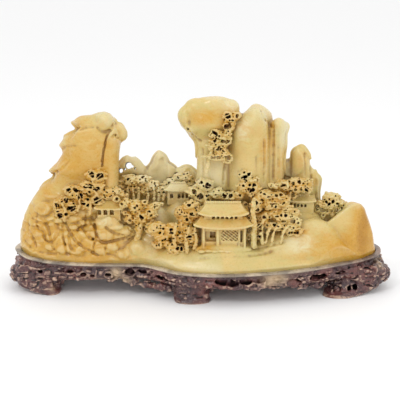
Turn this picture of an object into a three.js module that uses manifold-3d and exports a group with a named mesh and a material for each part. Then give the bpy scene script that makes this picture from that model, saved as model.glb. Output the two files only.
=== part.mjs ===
// A mountain landscape carved from one block of yellow soapstone, on its own carved dark stone stand.
// Millimetres, +Z up, front towards -Y, origin on the ground in the middle under the stand.
import * as THREE from 'three';
import Module from 'manifold-3d';
import { mergeVertices } from 'three/addons/utils/BufferGeometryUtils.js';

const wasm = await Module();
wasm.setup();

// Driving dimensions
const STAND_LENGTH = 460;
const STAND_DEPTH = 156;
const GAP = 0.3;
const RECESS_FLOOR = 30;
const STONE_FLOOR = RECESS_FLOOR + GAP;
const LEDGE = 8.5;
const RIM_MIDDLE = 38;
const RIM_RISE = 8;
const RIM_HALF = 215;
const SKY = 260;

// Where the mountain meets the stand, seen from above, as [x, y] from the left end along the front
const PLAN_FRONT = [
  [-216, 0], [-204, -24], [-186, -36], [-160, -41], [-130, -41], [-88, -38], [-60, -40], [-28, -60],
  [2, -68], [34, -69.5], [74, -65], [116, -57], [160, -40], [190, -28], [212, -8],
];
const PLAN_BACK = [
  [214, 14], [196, 34], [152, 50], [92, 62], [20, 69.5], [-50, 66], [-110, 57], [-166, 45], [-202, 27],
];
const PLAN_POINTS = 44;

// Ground, as the highest of these rock domes at each place: [x, y, half width, half depth, top]
const MOUNDS = [
  [-165, 8, 54, 37, 130], [-186, -10, 31, 26, 84], [-158, -17, 30, 25, 86], [-131, -18, 27, 23, 80],
  [-108, -12, 29, 27, 92], [-106, -20, 20, 20, 70], [-122, 26, 60, 30, 112], [-70, 6, 42, 32, 97],
  [-66, -20, 36, 24, 70], [-28, -34, 34, 30, 62], [28, -40, 60, 29, 68], [-40, 30, 60, 38, 100],
  [-26, 8, 26, 22, 103], [24, 0, 72, 34, 92], [40, 32, 90, 34, 116], [102, -30, 46, 28, 77],
  [96, 4, 40, 34, 96], [124, 4, 40, 34, 95], [133, -24, 42, 24, 89], [160, 24, 44, 28, 82],
  [181, -4, 29, 25, 103.5], [150, -34, 38, 20, 66], [60, -52, 70, 16, 54],
];
const MOUND_BLUNTNESS = 0.4;
const GROUND_LEAST = 2;
const GROUND_CELLS = [34, 11];

// Smooth rock pillars, each by rings of [height, left edge, right edge] at depth y
const PILLARS = {
  'cloud head': {
    y: 10, deep: 23,
    rings: [
      [60, -8, 40], [150, -6, 36], [172, -5, 34], [181, -10, 34], [188, -19, 36], [196, -26, 40],
      [205, -26, 44], [213, -20, 47], [219, -9, 45], [225, 5, 39], [229, 14, 28],
    ],
  },
  'front column': {
    y: -6, deep: 22,
    rings: [
      [50, 26, 88], [130, 27, 87], [165, 28, 88], [183, 31, 86], [195, 36, 80], [204, 42, 74],
      [210, 50, 66], [212, 54, 62],
    ],
  },
  'back column': {
    y: 30, deep: 20,
    rings: [[60, 50, 94], [188, 52, 92], [202, 54, 86], [209, 59, 79], [214, 65, 73]],
  },
  'right column': {
    y: 18, deep: 17,
    rings: [
      [60, 74, 103], [150, 78, 101], [168, 79, 101], [178, 80, 104], [188, 81, 105], [195, 83, 102],
      [201, 88, 96],
    ],
  },
  'back wall': { y: 36, deep: 12, rings: [[60, 88, 128], [132, 92, 116], [144, 96, 111]] },
  'pointed pinnacle': {
    y: 30, deep: 11,
    rings: [[60, 108, 138], [138, 110, 134], [150, 112, 132], [159, 115, 128], [164, 119, 123]],
  },
  'low pinnacle': {
    y: 32, deep: 10,
    rings: [[60, 128, 150], [118, 130, 148], [130, 134, 145], [136, 138, 142]],
  },
  'pierced hill': {
    y: 38, deep: 13,
    rings: [[60, -104, -58], [122, -102, -62], [136, -99, -68], [144, -94, -74], [148, -89, -80]],
  },
  'tall hill': {
    y: 46, deep: 13,
    rings: [[60, -80, -22], [124, -72, -29], [136, -63, -35], [145, -57, -41], [151, -51, -47]],
  },
  'round hill': { y: 40, deep: 12, rings: [[60, -34, 6], [120, -29, 0], [130, -25, -5], [136, -18, -11]] },
  'left column': {
    y: 4, deep: 17,
    rings: [
      [70, -122, -98], [150, -119, -98], [176, -119, -97], [192, -120, -97], [202, -119, -102],
      [210, -117, -110],
    ],
  },
  'left face': {
    y: 4, deep: 21,
    rings: [
      [70, -172, -116], [130, -168, -116], [160, -158, -118], [180, -152, -118], [196, -142, -120],
      [206, -134, -124],
    ],
  },
  'left knob': {
    y: 8, deep: 10,
    rings: [[172, -95, -91], [178, -101, -87], [186, -103, -85], [193, -100, -88], [197, -96, -91]],
  },
};
const PILLAR_SIDES = 12;
const SLENDER = { deep: 15, sides: 8 };
const PILLAR_TIP = 1;

// The left peak in outline, with its three rock beaks, as [x, z]
const PEAK_OUTLINE = [
  [-100, 80], [-99, 150], [-98, 190], [-104, 205], [-114, 210], [-129, 205], [-142, 205], [-151, 197],
  [-144, 189], [-160, 181], [-169, 168], [-164, 162], [-173, 148], [-184, 138], [-176, 133],
  [-190, 116], [-206, 95], [-200, 80],
];
const PEAK_FRONT = -8;
const PEAK_BACK = 32;
const PEAK_ROUND = 5;

// Openwork trees: crown size, and each crown's middle as [x, y, z]
const GROVES = [
  {
    name: 'slope pines', size: [14, 11, 9],
    crowns: [[-168, -19, 84], [-156, -17, 98], [-143, -15, 108], [-130, -14, 121], [-118, -10, 132]],
  },
  {
    name: 'pines above the left pavilion', size: [16, 11, 6],
    crowns: [[-119, -13, 117], [-97, -10, 118]],
  },
  { name: 'back pines', size: [15, 12, 9], crowns: [[-95, 16, 116], [-76, 16, 122], [-58, 14, 112]] },
  {
    name: 'pines round the back pavilion', size: [12, 9, 6],
    crowns: [[-47, 22, 119], [-31, 22, 129], [-9, 22, 124]],
  },
  {
    name: 'orange trees', size: [14, 11, 11],
    crowns: [[-86, -18, 98], [-66, -18, 101], [-78, -26, 82]],
  },
  {
    name: 'stream trees', size: [14, 11, 11],
    crowns: [
      [-48, -26, 100], [-31, -32, 103], [-17, -38, 92], [-46, -34, 80], [-28, -40, 78], [-12, -44, 76],
    ],
  },
  { name: 'pines by the eaves', size: [13, 10, 8], crowns: [[-23, -18, 110], [-8, -18, 118]] },
  {
    name: 'pines behind the roof', size: [16, 11, 8],
    crowns: [[8, -18, 124], [30, -18, 119], [54, -22, 130]],
  },
  {
    name: 'pines right of the roof', size: [15, 10, 7],
    crowns: [[72, -30, 122], [82, -32, 108], [78, -38, 93], [98, -34, 91], [106, -38, 80]],
  },
  {
    name: 'pines on the column', size: [8, 6, 9],
    crowns: [[17, -16, 184], [22, -16, 168], [38, -18, 205]],
  },
  {
    name: 'pines above the right pavilion', size: [15, 11, 7],
    crowns: [[86, -8, 116], [103, -2, 124], [124, 6, 123]],
  },
  { name: 'domed pine', size: [17, 13, 10], crowns: [[157, 7, 100]] },
];
const CROWN = { around: 6, up: 3, turn: 2.4 };
const TRUNK = { radius: 2.8, back: 5, buried: 4, sides: 3, taper: 0.8 };

// Drilled holes under every third crown: each is a short cone cut from the front
const DRILL = { mouth: 3.4, end: 1.6, deep: 13, sides: 5, aside: 0.48, ahead: 4, below: 0.55, every: 3 };
// Holes right through the pierced hill, as [x, z]
const PIERCED = [[-101, 134], [-92, 137]];

// Pavilions: middle of the floor, walls [width, depth, height], roofs and bays as [x0, x1, z0, z1]
const PAVILIONS = [
  {
    at: [27, -38, 67], wall: [50, 26, 21],
    roofs: [
      { z: 87, half: [34.5, 20], ridge: 20, rise: 18, lift: 5 },
      { z: 100.5, half: [29.5, 15], ridge: 19.6, rise: 13.5, lift: 5.5 },
    ],
    upper: { wall: [44, 20], from: 90, to: 104 },
    bays: [[6, 19, 71, 82], [25.5, 44, 71, 83], [46.5, 49.5, 70, 83]],
  },
  {
    at: [-107, -14, 90], wall: [27, 20, 12],
    roofs: [{ z: 100, half: [17.5, 13], ridge: 9.5, rise: 9.5, lift: 3 }],
    bays: [[-119.5, -115.5, 94, 100], [-113, -109, 94, 100], [-106, -101.5, 94, 100]],
  },
  {
    at: [-26, 12, 102], wall: [26, 18, 14],
    roofs: [{ z: 115, half: [17, 12], ridge: 8, rise: 6, lift: 1.5 }],
    bays: [[-36, -31, 106, 112], [-26, -20, 106, 112], [-18, -14, 106, 112]],
  },
  {
    at: [122.5, 2, 94], wall: [26, 20, 11],
    roofs: [{ z: 104.5, half: [15.5, 13], ridge: 8.5, rise: 3.5, lift: 1.5 }],
    bays: [[111, 113.5, 98, 103], [115, 117.5, 98.5, 102.5], [119.5, 126.5, 98.5, 102]],
  },
];
const BAY_DEPTH = 8;
const WALL_BURIED = 8;
const ROOF_EDGE = 2.2;
const ROOF_CELLS = [6, 4];
const ROOF_SAG = 1.3;

// The stand: heights of its underside, then feet from the sole [x, y] up and outwards to the apron
const APRON_FLOOR = 21;
const UNDERSIDE = 19;
const FEET = [
  { sole: [-178, -34], half: [16, 11], top: [-196, -17], spread: [34, 25] },
  { sole: [-9, -62], half: [20, 9], top: [-9, -50], spread: [25, 17] },
  { sole: [164, -42], half: [19, 12], top: [190, -17], spread: [40, 24] },
  { sole: [-178, 30], half: [15, 10], top: [-196, 15], spread: [32, 19] },
  { sole: [0, 61], half: [20, 9], top: [0, 52], spread: [25, 17] },
  { sole: [168, 36], half: [17, 10], top: [190, 18], spread: [38, 20] },
];
// Rings of a foot, as [height, how far it has widened from the sole]
const FOOT_RINGS = [[0, 0], [4, 0.35], [13, 0.72], [24, 1], [31, 0.9], [35, 0.6]];
const FOOT_SIDES = 12;

// Carved pits in the apron's front, as [x, width, height, z], every second one at the back too
const PITS = [
  [-155, 17, 7, 33], [-137, 8, 6, 27], [-104, 14, 7, 30], [-82, 11, 9, 29], [-66, 10, 7, 31],
  [-47, 22, 8, 27], [29, 26, 9, 29], [59, 26, 8, 30], [109, 21, 8, 27], [136, 17, 7, 28],
];
const PIT_DEPTH = 9;
const PIT_FACETS = [6, 4];

const STONE = { color: 0xdcc076, roughness: 0.35, metalness: 0 };
const DARK_STONE = { color: 0x4a2c2e, roughness: 0.35, metalness: 0 };

// Solids and booleans
function toSolid(geometry) {
  geometry.deleteAttribute('normal');
  geometry.deleteAttribute('uv');
  const merged = mergeVertices(geometry, 1e-4);
  const mesh = new wasm.Mesh({
    numProp: 3,
    vertProperties: new Float32Array(merged.attributes.position.array),
    triVerts: new Uint32Array(merged.index.array),
  });
  mesh.merge();
  return new wasm.Manifold(mesh);
}

function join(solids) {
  let row = solids;
  while (row.length > 1) {
    const next = [];
    for (let i = 0; i < row.length; i += 2) {
      next.push(i + 1 < row.length ? row[i].add(row[i + 1]) : row[i]);
    }
    row = next;
  }
  return row[0];
}

function toMesh(name, solid, look) {
  const { vertProperties, triVerts, numProp } = solid.getMesh();
  const count = vertProperties.length / numProp;
  const xyz = new Float32Array(3 * count);
  for (let i = 0; i < count; i += 1) {
    for (let k = 0; k < 3; k += 1) xyz[3 * i + k] = vertProperties[numProp * i + k];
  }
  const geometry = new THREE.BufferGeometry();
  geometry.setAttribute('position', new THREE.BufferAttribute(xyz, 3));
  geometry.setIndex(new THREE.BufferAttribute(new Uint32Array(triVerts), 1));
  geometry.computeVertexNormals();
  const mesh = new THREE.Mesh(geometry, new THREE.MeshStandardMaterial(look));
  mesh.name = name;
  return mesh;
}

function box(x0, x1, y0, y1, z0, z1) {
  const geometry = new THREE.BoxGeometry(x1 - x0, y1 - y0, z1 - z0);
  geometry.translate((x0 + x1) / 2, (y0 + y1) / 2, (z0 + z1) / 2);
  return toSolid(geometry);
}

function ellipsoid([x, y, z], [rx, ry, rz], around, up, turn = 0) {
  const geometry = new THREE.SphereGeometry(1, around, up);
  geometry.rotateX(Math.PI / 2);
  geometry.rotateZ(turn);
  geometry.scale(rx, ry, rz);
  geometry.translate(x, y, z);
  return toSolid(geometry);
}

function rod(from, to, radius, sides) {
  const a = new THREE.Vector3(...from);
  const b = new THREE.Vector3(...to);
  const geometry = new THREE.CylinderGeometry(radius * TRUNK.taper, radius, a.distanceTo(b), sides);
  const along = b.clone().sub(a).normalize();
  geometry.applyQuaternion(new THREE.Quaternion().setFromUnitVectors(new THREE.Vector3(0, 1, 0), along));
  geometry.translate(...a.add(b).multiplyScalar(0.5).toArray());
  return toSolid(geometry);
}

// A closed skin of rings: place(turn, row) gives the point on each ring, the end caps close it
function ringed(sides, rows, place, bottom, top) {
  const geometry = new THREE.CylinderGeometry(1, 1, 1, sides, rows - 1);
  geometry.rotateX(Math.PI / 2);
  const position = geometry.attributes.position;
  for (let i = 0; i < position.count; i += 1) {
    const x = position.getX(i);
    const y = position.getY(i);
    const row = Math.round((position.getZ(i) + 0.5) * (rows - 1));
    const middle = Math.hypot(x, y) < 0.5;
    const end = row === 0 ? bottom : top;
    const turn = (Math.atan2(y, x) / (2 * Math.PI) + 1) % 1;
    position.setXYZ(i, ...(middle ? end : place(Math.round(turn * sides) % sides / sides, row)));
  }
  return toSolid(geometry);
}

// Plan curve of the mountain's foot
const rimHeight = (x) => RIM_MIDDLE + RIM_RISE * (Math.abs(x) / RIM_HALF) ** 2;
const planPoint = ([x, y]) => new THREE.Vector3(x, y, 0);
const planCurve = new THREE.CatmullRomCurve3(
  [...PLAN_FRONT, ...PLAN_BACK].map(planPoint), true, 'centripetal');
const PLAN = planCurve.getSpacedPoints(PLAN_POINTS).slice(0, PLAN_POINTS);
const PLAN_OUT = PLAN.map((point, i) => {
  const before = PLAN[(i + PLAN_POINTS - 2) % PLAN_POINTS];
  const after = PLAN[(i + 2) % PLAN_POINTS];
  return new THREE.Vector3(after.y - before.y, before.x - after.x, 0).normalize();
});

function onPlan(turn, offset) {
  const i = Math.round(turn * PLAN_POINTS) % PLAN_POINTS;
  return PLAN[i].clone().addScaledVector(PLAN_OUT[i], offset);
}

function planRings(section, bottom, top) {
  const place = (turn, row) => {
    const foot = onPlan(turn, 0);
    const [offset, height] = section(foot.x)[row];
    const point = onPlan(turn, offset);
    return [point.x, point.y, height];
  };
  return ringed(PLAN_POINTS, section(0).length, place, bottom, top);
}

// The mountain
function groundHeight(x, y) {
  const heights = MOUNDS.map(([cx, cy, rx, ry, top]) => {
    const round = 1 - ((x - cx) / rx) ** 2 - ((y - cy) / ry) ** 2;
    return STONE_FLOOR + (top - STONE_FLOOR) * Math.max(round, 0) ** MOUND_BLUNTNESS;
  });
  return Math.max(...heights, STONE_FLOOR + GROUND_LEAST);
}

function ground() {
  const [columns, rows] = GROUND_CELLS;
  const geometry = new THREE.BoxGeometry(STAND_LENGTH, STAND_DEPTH, 2, columns, rows, 1);
  const position = geometry.attributes.position;
  for (let i = 0; i < position.count; i += 1) {
    const top = groundHeight(position.getX(i), position.getY(i));
    position.setZ(i, position.getZ(i) > 0 ? top : STONE_FLOOR - 1);
  }
  return toSolid(geometry);
}

function pillar({ y, deep, rings }) {
  const widest = Math.max(...rings.map(([, left, right]) => right - left));
  const place = (turn, row) => {
    const [z, left, right] = rings[row];
    const half = (right - left) / 2;
    const angle = 2 * Math.PI * turn;
    const depth = deep * Math.sqrt((2 * half) / widest);
    return [(left + right) / 2 + half * Math.cos(angle), y + depth * Math.sin(angle), z];
  };
  const middle = ([z, left, right], tip) => [(left + right) / 2, y, z + tip];
  const sides = deep > SLENDER.deep ? PILLAR_SIDES : SLENDER.sides;
  return ringed(sides, rings.length, place, middle(rings[0], 0), middle(rings.at(-1), PILLAR_TIP));
}

function leftPeak() {
  const shape = new THREE.Shape(PEAK_OUTLINE.map(([x, z]) => new THREE.Vector2(x, z)));
  const geometry = new THREE.ExtrudeGeometry(shape, {
    depth: PEAK_BACK - PEAK_FRONT - 2 * PEAK_ROUND, steps: 1, bevelEnabled: true, bevelSegments: 2,
    bevelThickness: PEAK_ROUND, bevelSize: PEAK_ROUND, bevelOffset: -PEAK_ROUND,
  });
  geometry.rotateX(Math.PI / 2);
  geometry.translate(0, PEAK_BACK - PEAK_ROUND, 0);
  return toSolid(geometry);
}

function grove({ size, crowns }) {
  const solids = [];
  crowns.forEach(([x, y, z], i) => {
    const root = [x, y + TRUNK.back, groundHeight(x, y + TRUNK.back) - TRUNK.buried];
    solids.push(ellipsoid([x, y, z], size, CROWN.around, CROWN.up, i * CROWN.turn));
    if (z > root[2] + size[2]) solids.push(rod(root, [x, y, z], TRUNK.radius, TRUNK.sides));
  });
  return join(solids);
}

function drillHoles() {
  const solids = [];
  const drill = (x, y, z) => {
    const geometry = new THREE.CylinderGeometry(DRILL.end, DRILL.mouth, DRILL.deep, DRILL.sides);
    geometry.translate(x, y, z);
    solids.push(toSolid(geometry));
  };
  for (const { size, crowns } of GROVES) {
    crowns.forEach(([x, y, z], i) => {
      if (i % DRILL.every) return;
      drill(x + DRILL.aside * size[0], y - DRILL.ahead, z - DRILL.below * size[2]);
    });
  }
  for (const [x, z] of PIERCED) drill(x, PILLARS['pierced hill'].y, z);
  return join(solids);
}

// A roof with a concave slope and lifted corners, on a ridge shorter than the eaves
function roof(cx, cy, { z, half: [halfX, halfY], ridge, rise, lift }) {
  const geometry = new THREE.BoxGeometry(2, 2, 2, ...ROOF_CELLS, 1);
  const position = geometry.attributes.position;
  for (let i = 0; i < position.count; i += 1) {
    const u = position.getX(i);
    const v = position.getY(i);
    const under = position.getZ(i) < 0;
    const across = halfX + (ridge - halfX) * (1 - Math.abs(v));
    const slope = 1 - Math.max(Math.abs(v), (Math.abs(u) * across) / halfX - ridge / halfX);
    const corner = lift * Math.abs(u) ** 3 * Math.abs(v) ** 2;
    const top = z + ROOF_EDGE + rise * Math.max(slope, 0) ** ROOF_SAG + corner;
    position.setXYZ(i, cx + u * across, cy + v * halfY, under ? z + corner : top);
  }
  return toSolid(geometry);
}

function pavilion({ at: [x, y, z], wall: [width, depth, height], roofs, upper, bays }) {
  const front = y - depth / 2;
  const walls = box(x - width / 2, x + width / 2, front, y + depth / 2, z - WALL_BURIED, z + height);
  const openings = bays.map(([x0, x1, z0, z1]) => box(x0, x1, front - 1, front + BAY_DEPTH, z0, z1));
  const solids = [walls.subtract(join(openings))];
  if (upper) {
    const [w, d] = upper.wall;
    solids.push(box(x - w / 2, x + w / 2, y - d / 2, y + d / 2, upper.from, upper.to));
  }
  return join([...solids, ...roofs.map((each) => roof(x, y, each))]);
}

function mountain() {
  const foot = planRings((x) => [
    [0, STONE_FLOOR], [0, rimHeight(x) - 1], [-1.5, rimHeight(x) + 5], [-7, rimHeight(x) + 9],
  ], [0, 0, STONE_FLOOR], [0, 0, RIM_MIDDLE + 16]);
  const limit = planRings((x) => [
    [0, STONE_FLOOR], [0, rimHeight(x) + 1], [4, rimHeight(x) + 8], [4, SKY],
  ], [0, 0, STONE_FLOOR], [0, 0, SKY]);
  const peaks = [leftPeak(), ...Object.values(PILLARS).map(pillar)];
  const carved = join([ground(), ...peaks, ...GROVES.map(grove)]).subtract(drillHoles());
  return join([carved.intersect(limit), foot, ...PAVILIONS.map(pavilion)]);
}

// The stand
function standFoot({ sole, half, top, spread }) {
  const place = (turn, row) => {
    const [, widening] = FOOT_RINGS[row];
    const mix = (a, b) => a + (b - a) * widening;
    const angle = 2 * Math.PI * turn;
    return [
      mix(sole[0], top[0]) + mix(half[0], spread[0]) * Math.cos(angle),
      mix(sole[1], top[1]) + mix(half[1], spread[1]) * Math.sin(angle),
      FOOT_RINGS[row][0],
    ];
  };
  return ringed(FOOT_SIDES, FOOT_RINGS.length, place, [...sole, 0], [...top, FOOT_RINGS.at(-1)[0]]);
}

function pit([x, width, height, z], side) {
  const ahead = PLAN.filter((point) => point.y * side > 0);
  const gap = (point) => Math.abs(point.x - x);
  const near = ahead.reduce((best, point) => (gap(point) < gap(best) ? point : best));
  const face = near.y + side * LEDGE;
  return ellipsoid([x, face, z], [width / 2, PIT_DEPTH, height / 2], ...PIT_FACETS);
}

function stand() {
  const body = planRings((x) => [
    [-12, UNDERSIDE], [4, APRON_FLOOR], [LEDGE - 1, APRON_FLOOR + 5], [LEDGE - 1.5, APRON_FLOOR + 10],
    [LEDGE - 3.5, rimHeight(x) - 5], [LEDGE, rimHeight(x) - 3.2], [LEDGE, rimHeight(x) - 1],
    [LEDGE - 1.5, rimHeight(x)], [GAP, rimHeight(x) - 0.6], [GAP, RECESS_FLOOR],
  ], [0, 0, UNDERSIDE], [0, 0, RECESS_FLOOR]);
  const limit = box(-STAND_LENGTH / 2, STAND_LENGTH / 2, -STAND_DEPTH / 2, STAND_DEPTH / 2, 0, SKY);
  const feet = FEET.map(standFoot);
  const pits = PITS.flatMap((each, i) => (i % 2 ? [pit(each, -1)] : [pit(each, -1), pit(each, 1)]));
  const recess = planRings(() => [[GAP, RECESS_FLOOR], [GAP, SKY]], [0, 0, RECESS_FLOOR], [0, 0, SKY]);
  return join([body, ...feet]).subtract(join([...pits, recess])).intersect(limit);
}

const carving = new THREE.Group();
carving.add(toMesh('mountain_carving', mountain(), STONE));
carving.add(toMesh('carved_stand', stand(), DARK_STONE));

export default carving;
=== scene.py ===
"""A mountain landscape carved from yellow soapstone, on its own dark stone stand.

Sizes of the carving are in millimetres, as in the solids, and become metres in skin().
Each piece is first a field of signed distances, negative inside the stone, then a mesh.
What the photograph shows is placed by its pixels, on the lines of the photograph's camera.
"""
import math

import bpy
import numpy as np
import openvdb
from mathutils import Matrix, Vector


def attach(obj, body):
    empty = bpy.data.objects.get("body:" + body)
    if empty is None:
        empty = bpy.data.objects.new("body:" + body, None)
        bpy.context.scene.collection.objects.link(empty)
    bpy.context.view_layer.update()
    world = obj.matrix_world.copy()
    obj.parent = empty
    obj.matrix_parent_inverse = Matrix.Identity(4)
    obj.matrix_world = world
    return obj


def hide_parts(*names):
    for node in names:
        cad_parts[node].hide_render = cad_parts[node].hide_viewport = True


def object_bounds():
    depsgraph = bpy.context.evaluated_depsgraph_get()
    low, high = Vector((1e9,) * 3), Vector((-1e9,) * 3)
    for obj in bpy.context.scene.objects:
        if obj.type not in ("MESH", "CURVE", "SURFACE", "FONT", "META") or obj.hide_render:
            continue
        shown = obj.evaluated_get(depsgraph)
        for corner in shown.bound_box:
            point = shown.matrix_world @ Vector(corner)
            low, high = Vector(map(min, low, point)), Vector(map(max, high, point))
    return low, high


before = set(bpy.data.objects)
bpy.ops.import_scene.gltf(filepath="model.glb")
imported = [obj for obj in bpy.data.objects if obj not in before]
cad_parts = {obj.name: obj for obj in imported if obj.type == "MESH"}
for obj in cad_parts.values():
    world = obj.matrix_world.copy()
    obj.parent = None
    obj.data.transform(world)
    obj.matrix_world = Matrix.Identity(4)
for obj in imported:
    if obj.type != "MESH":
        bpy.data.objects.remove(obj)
CAD_BOX = [list(corner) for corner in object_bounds()]
MM = 0.001

# Sizes shared with the solids
RECESS_FLOOR = 30.0
GAP = 0.3
STONE_FLOOR = RECESS_FLOOR + GAP
LEDGE = 8.5
RIM_MIDDLE, RIM_RISE, RIM_RISE_RIGHT, RIM_HALF = 38.0, 8.0, 4.5, 215.0
UNDERSIDE = 19.0
HALF_LENGTH, HALF_WIDTH = (round(-side / MM, 1) for side in CAD_BOX[0][:2])
STONE_TOP = round(CAD_BOX[1][2] / MM, 1) - 0.4

# Size of a voxel of each field in mm, and the most triangles that its mesh may keep
ROCK_VOXEL, GROVE_VOXEL, PAVILION_VOXEL, STAND_VOXEL = 1.0, 0.7, 0.5, 0.8
ROCK_MOST, GROVE_MOST, PAVILION_MOST, STAND_MOST = 182000, 46000, 36000, 172000

# The photograph's camera: a pixel of its 400 by 400 frame is turned into a line through the carving
ELEVATION = math.radians(17)
DISTANCE = 1250.0
TARGET = (0.0, 7.0, 103.0)
PHOTO_SIZE = 400
FOCAL = 1041.0
PIXEL = DISTANCE / FOCAL
LOOK = np.array([0, math.cos(ELEVATION), -math.sin(ELEVATION)])
LIFT = np.array([0, math.sin(ELEVATION), math.cos(ELEVATION)])
EYE = np.array(TARGET) - DISTANCE * LOOK

# The mountain's foot seen from above, x and y, along the front and back again
PLAN_FRONT = [
    (-216, 0), (-204, -24), (-186, -36), (-160, -41), (-130, -41), (-88, -38), (-60, -40), (-28, -60),
    (2, -68), (34, -69.5), (74, -65), (116, -57), (160, -40), (189, -28), (209, -9),
]
PLAN_BACK = [
    (211, 13), (194, 34), (152, 50), (92, 62), (20, 69.5), (-50, 66), (-110, 57), (-166, 45), (-202, 27),
]

# Ground, as rock domes: x, y, half width, half depth, top
MOUNDS = [
    (-165, 8, 54, 37, 130), (-186, -10, 31, 26, 84), (-158, -17, 30, 25, 86), (-131, -18, 27, 23, 80),
    (-108, -12, 29, 27, 92), (-106, -20, 20, 20, 70), (-122, 26, 60, 30, 112), (-70, 6, 42, 32, 97),
    (-66, -20, 36, 24, 70), (-28, -34, 34, 30, 62), (28, -40, 60, 29, 68), (-40, 30, 60, 38, 100),
    (-26, 8, 26, 22, 103), (24, 0, 72, 34, 92), (40, 32, 90, 34, 116), (102, -30, 46, 28, 77),
    (96, 4, 40, 34, 96), (124, 4, 40, 34, 95), (133, -24, 42, 24, 89), (160, 24, 44, 28, 82),
    (152, 26, 44, 22, 95), (-50, -8, 24, 24, 99), (181, -4, 29, 25, 103.5), (150, -34, 38, 20, 66),
    (60, -52, 70, 16, 54), (-107, -25, 24, 9, 93),
]

# Rock forms as the camera sees them: depth y of the middle, half thickness at the edge and well inside,
# how far in that is, the blend with the rest, all in mm, and the edge in photograph pixels
FORMS = {
    "left peak": (8, 2.5, 22, 26, 3, [
        (72.4, 122), (76, 118.5), (80, 116), (86, 115.2), (92, 114.6), (98, 113.2), (104.6, 112.6),
        (109, 114), (112.5, 117.5), (114.5, 122), (116, 130), (117, 145), (117, 256), (30, 256), (21, 247),
        (19.8, 233), (22.5, 221), (27, 212), (30.6, 205.6), (39.5, 196), (47, 186.4), (53.9, 179.6),
        (55.2, 173.2), (47.3, 171.4), (52, 166.5), (57.3, 161.8), (62.8, 153.5), (61.4, 148.7),
        (58.3, 145.5), (61.4, 141.2), (64.8, 136.4), (70, 133.5), (75.8, 131), (78.5, 129)]),
    "left head": (2, 3, 17.5, 14, 5, [
        (95, 115), (99, 113.2), (104.6, 112.2), (110, 114.2), (114, 119), (115.5, 126), (112, 131.5),
        (106, 133.5), (101, 131), (97, 124)]),
    "left column": (0, 4, 17, 11, 1.5, [
        (104, 134), (108, 128), (113, 125), (117, 128), (119.5, 134), (120.4, 144), (119, 156),
        (118.3, 173), (118, 206), (100, 206), (101, 168), (102, 150)]),
    "left knob": (4, 3, 9, 7, 1.5, [
        (112, 128), (115, 124.5), (119.7, 123.8), (124, 126.5), (127, 131), (127.6, 136), (125.5, 139.8),
        (122, 141.4), (117, 140), (113, 135)]),
    "cloud head": (8, 4, 25, 20, 5, [
        (178.3, 118), (180.3, 110.5), (185, 105.5), (190, 102.8), (196, 100), (203, 98), (210, 96.4),
        (216, 95.8), (222, 96.6), (228, 98.6), (233, 101.5), (237, 106.5), (239.8, 113), (240, 121),
        (236, 129), (229, 136), (220, 141), (210, 142.5), (200, 142), (195, 139), (191, 135.3),
        (187, 131.8), (181, 126)]),
    "head column": (8, 5, 20, 14, 3, [
        (196, 138), (197.3, 150.8), (196.4, 170), (195, 206), (232, 206), (230, 170), (229, 150),
        (230, 135), (215, 130)]),
    "back column": (28, 4, 18, 14, 5, [
        (238, 120), (243, 114), (248, 109), (252, 105), (255.8, 103.4), (260, 104.2), (264, 106.3),
        (268, 109.6), (271, 113), (272.3, 118), (276, 135), (277, 206), (238, 206)]),
    "front column": (3, 5, 28, 36, 7, [
        (228.5, 206), (228.5, 150), (229.5, 131), (233, 123), (239, 117.8), (243, 114), (248, 109.5),
        (254, 106.5), (260, 108.5), (265, 114), (268, 124), (269, 140), (269.5, 206)]),
    "right column": (14, 4, 17, 12, 3, [
        (268, 130), (272, 121), (275.5, 118), (279.1, 117), (283.5, 119), (286.5, 122.5), (288.2, 126.5),
        (287.3, 130), (285.7, 134), (284.9, 145), (284, 160), (283.5, 206), (262, 206), (264, 150)]),
    "back wall": (36, 4, 11, 8, 4, [
        (280, 163), (284.6, 160.6), (291.6, 160.4), (297, 165), (312, 206), (280, 206)]),
    "pointed pinnacle": (28, 3, 12, 9, 2, [
        (291.5, 206), (291.7, 160), (292, 152.5), (294, 149.7), (297, 147.8), (299.5, 146.2),
        (301.8, 145.6), (304, 146.8), (306, 149.5), (308.6, 154), (310, 162), (311, 170), (313, 206)]),
    "low pinnacle": (28, 3, 11, 9, 1.5, [
        (306, 170), (309, 166.5), (311.5, 167), (314.7, 170), (316.2, 174), (319, 176.5), (320.3, 179),
        (319.8, 184), (318.4, 192), (319, 206), (304, 206)]),
    "pierced hill": (38, 3, 9, 9, 2.5, [
        (116, 206), (117, 172), (119.5, 163.5), (123.8, 158.5), (127, 157), (130.8, 156.8), (134.5, 158.5),
        (138, 161), (141, 164.5), (144, 168), (148, 206)]),
    "tall hill": (44, 3, 13, 10, 2, [
        (140, 206), (144, 173), (147.5, 168), (151.2, 163), (153.5, 158), (155.5, 154.8), (158.7, 152.2),
        (162, 153.6), (164.9, 156.3), (167, 160.5), (168.3, 163), (172, 165), (175, 167.2), (177, 172),
        (182, 206)]),
    "round hill": (40, 3, 12, 9, 2, [
        (174, 206), (177, 171), (180, 169.2), (184, 166.8), (187, 166.2), (190, 167), (194.6, 170.5),
        (197, 175), (200, 206)]),
    "boulder": (-12, 6, 22, 14, 3, [
        (327, 222), (338, 213.5), (349, 205.6), (354.5, 203), (361, 204), (364.8, 208.4), (368.2, 222),
        (372, 233), (373.6, 244), (373.6, 262), (296, 262), (296, 236), (304, 225), (309, 219.5),
        (314, 217.5), (320, 219.5)]),
}
# Flat facets: a pixel on each and its depth y, then the way it faces
FACETS = {"boulder": [((336, 238), -29, (-0.15, -0.95, 0.27)), ((364, 232), -21, (0.62, -0.77, 0.12))]}


# Photograph pixels
def ray(u, v):
    """Direction of the camera's line through pixel u, v."""
    half = PHOTO_SIZE / 2
    line = LOOK + np.array([(u - half) / FOCAL, 0, 0]) + LIFT * (half - v) / FOCAL
    return line / np.linalg.norm(line)


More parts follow.
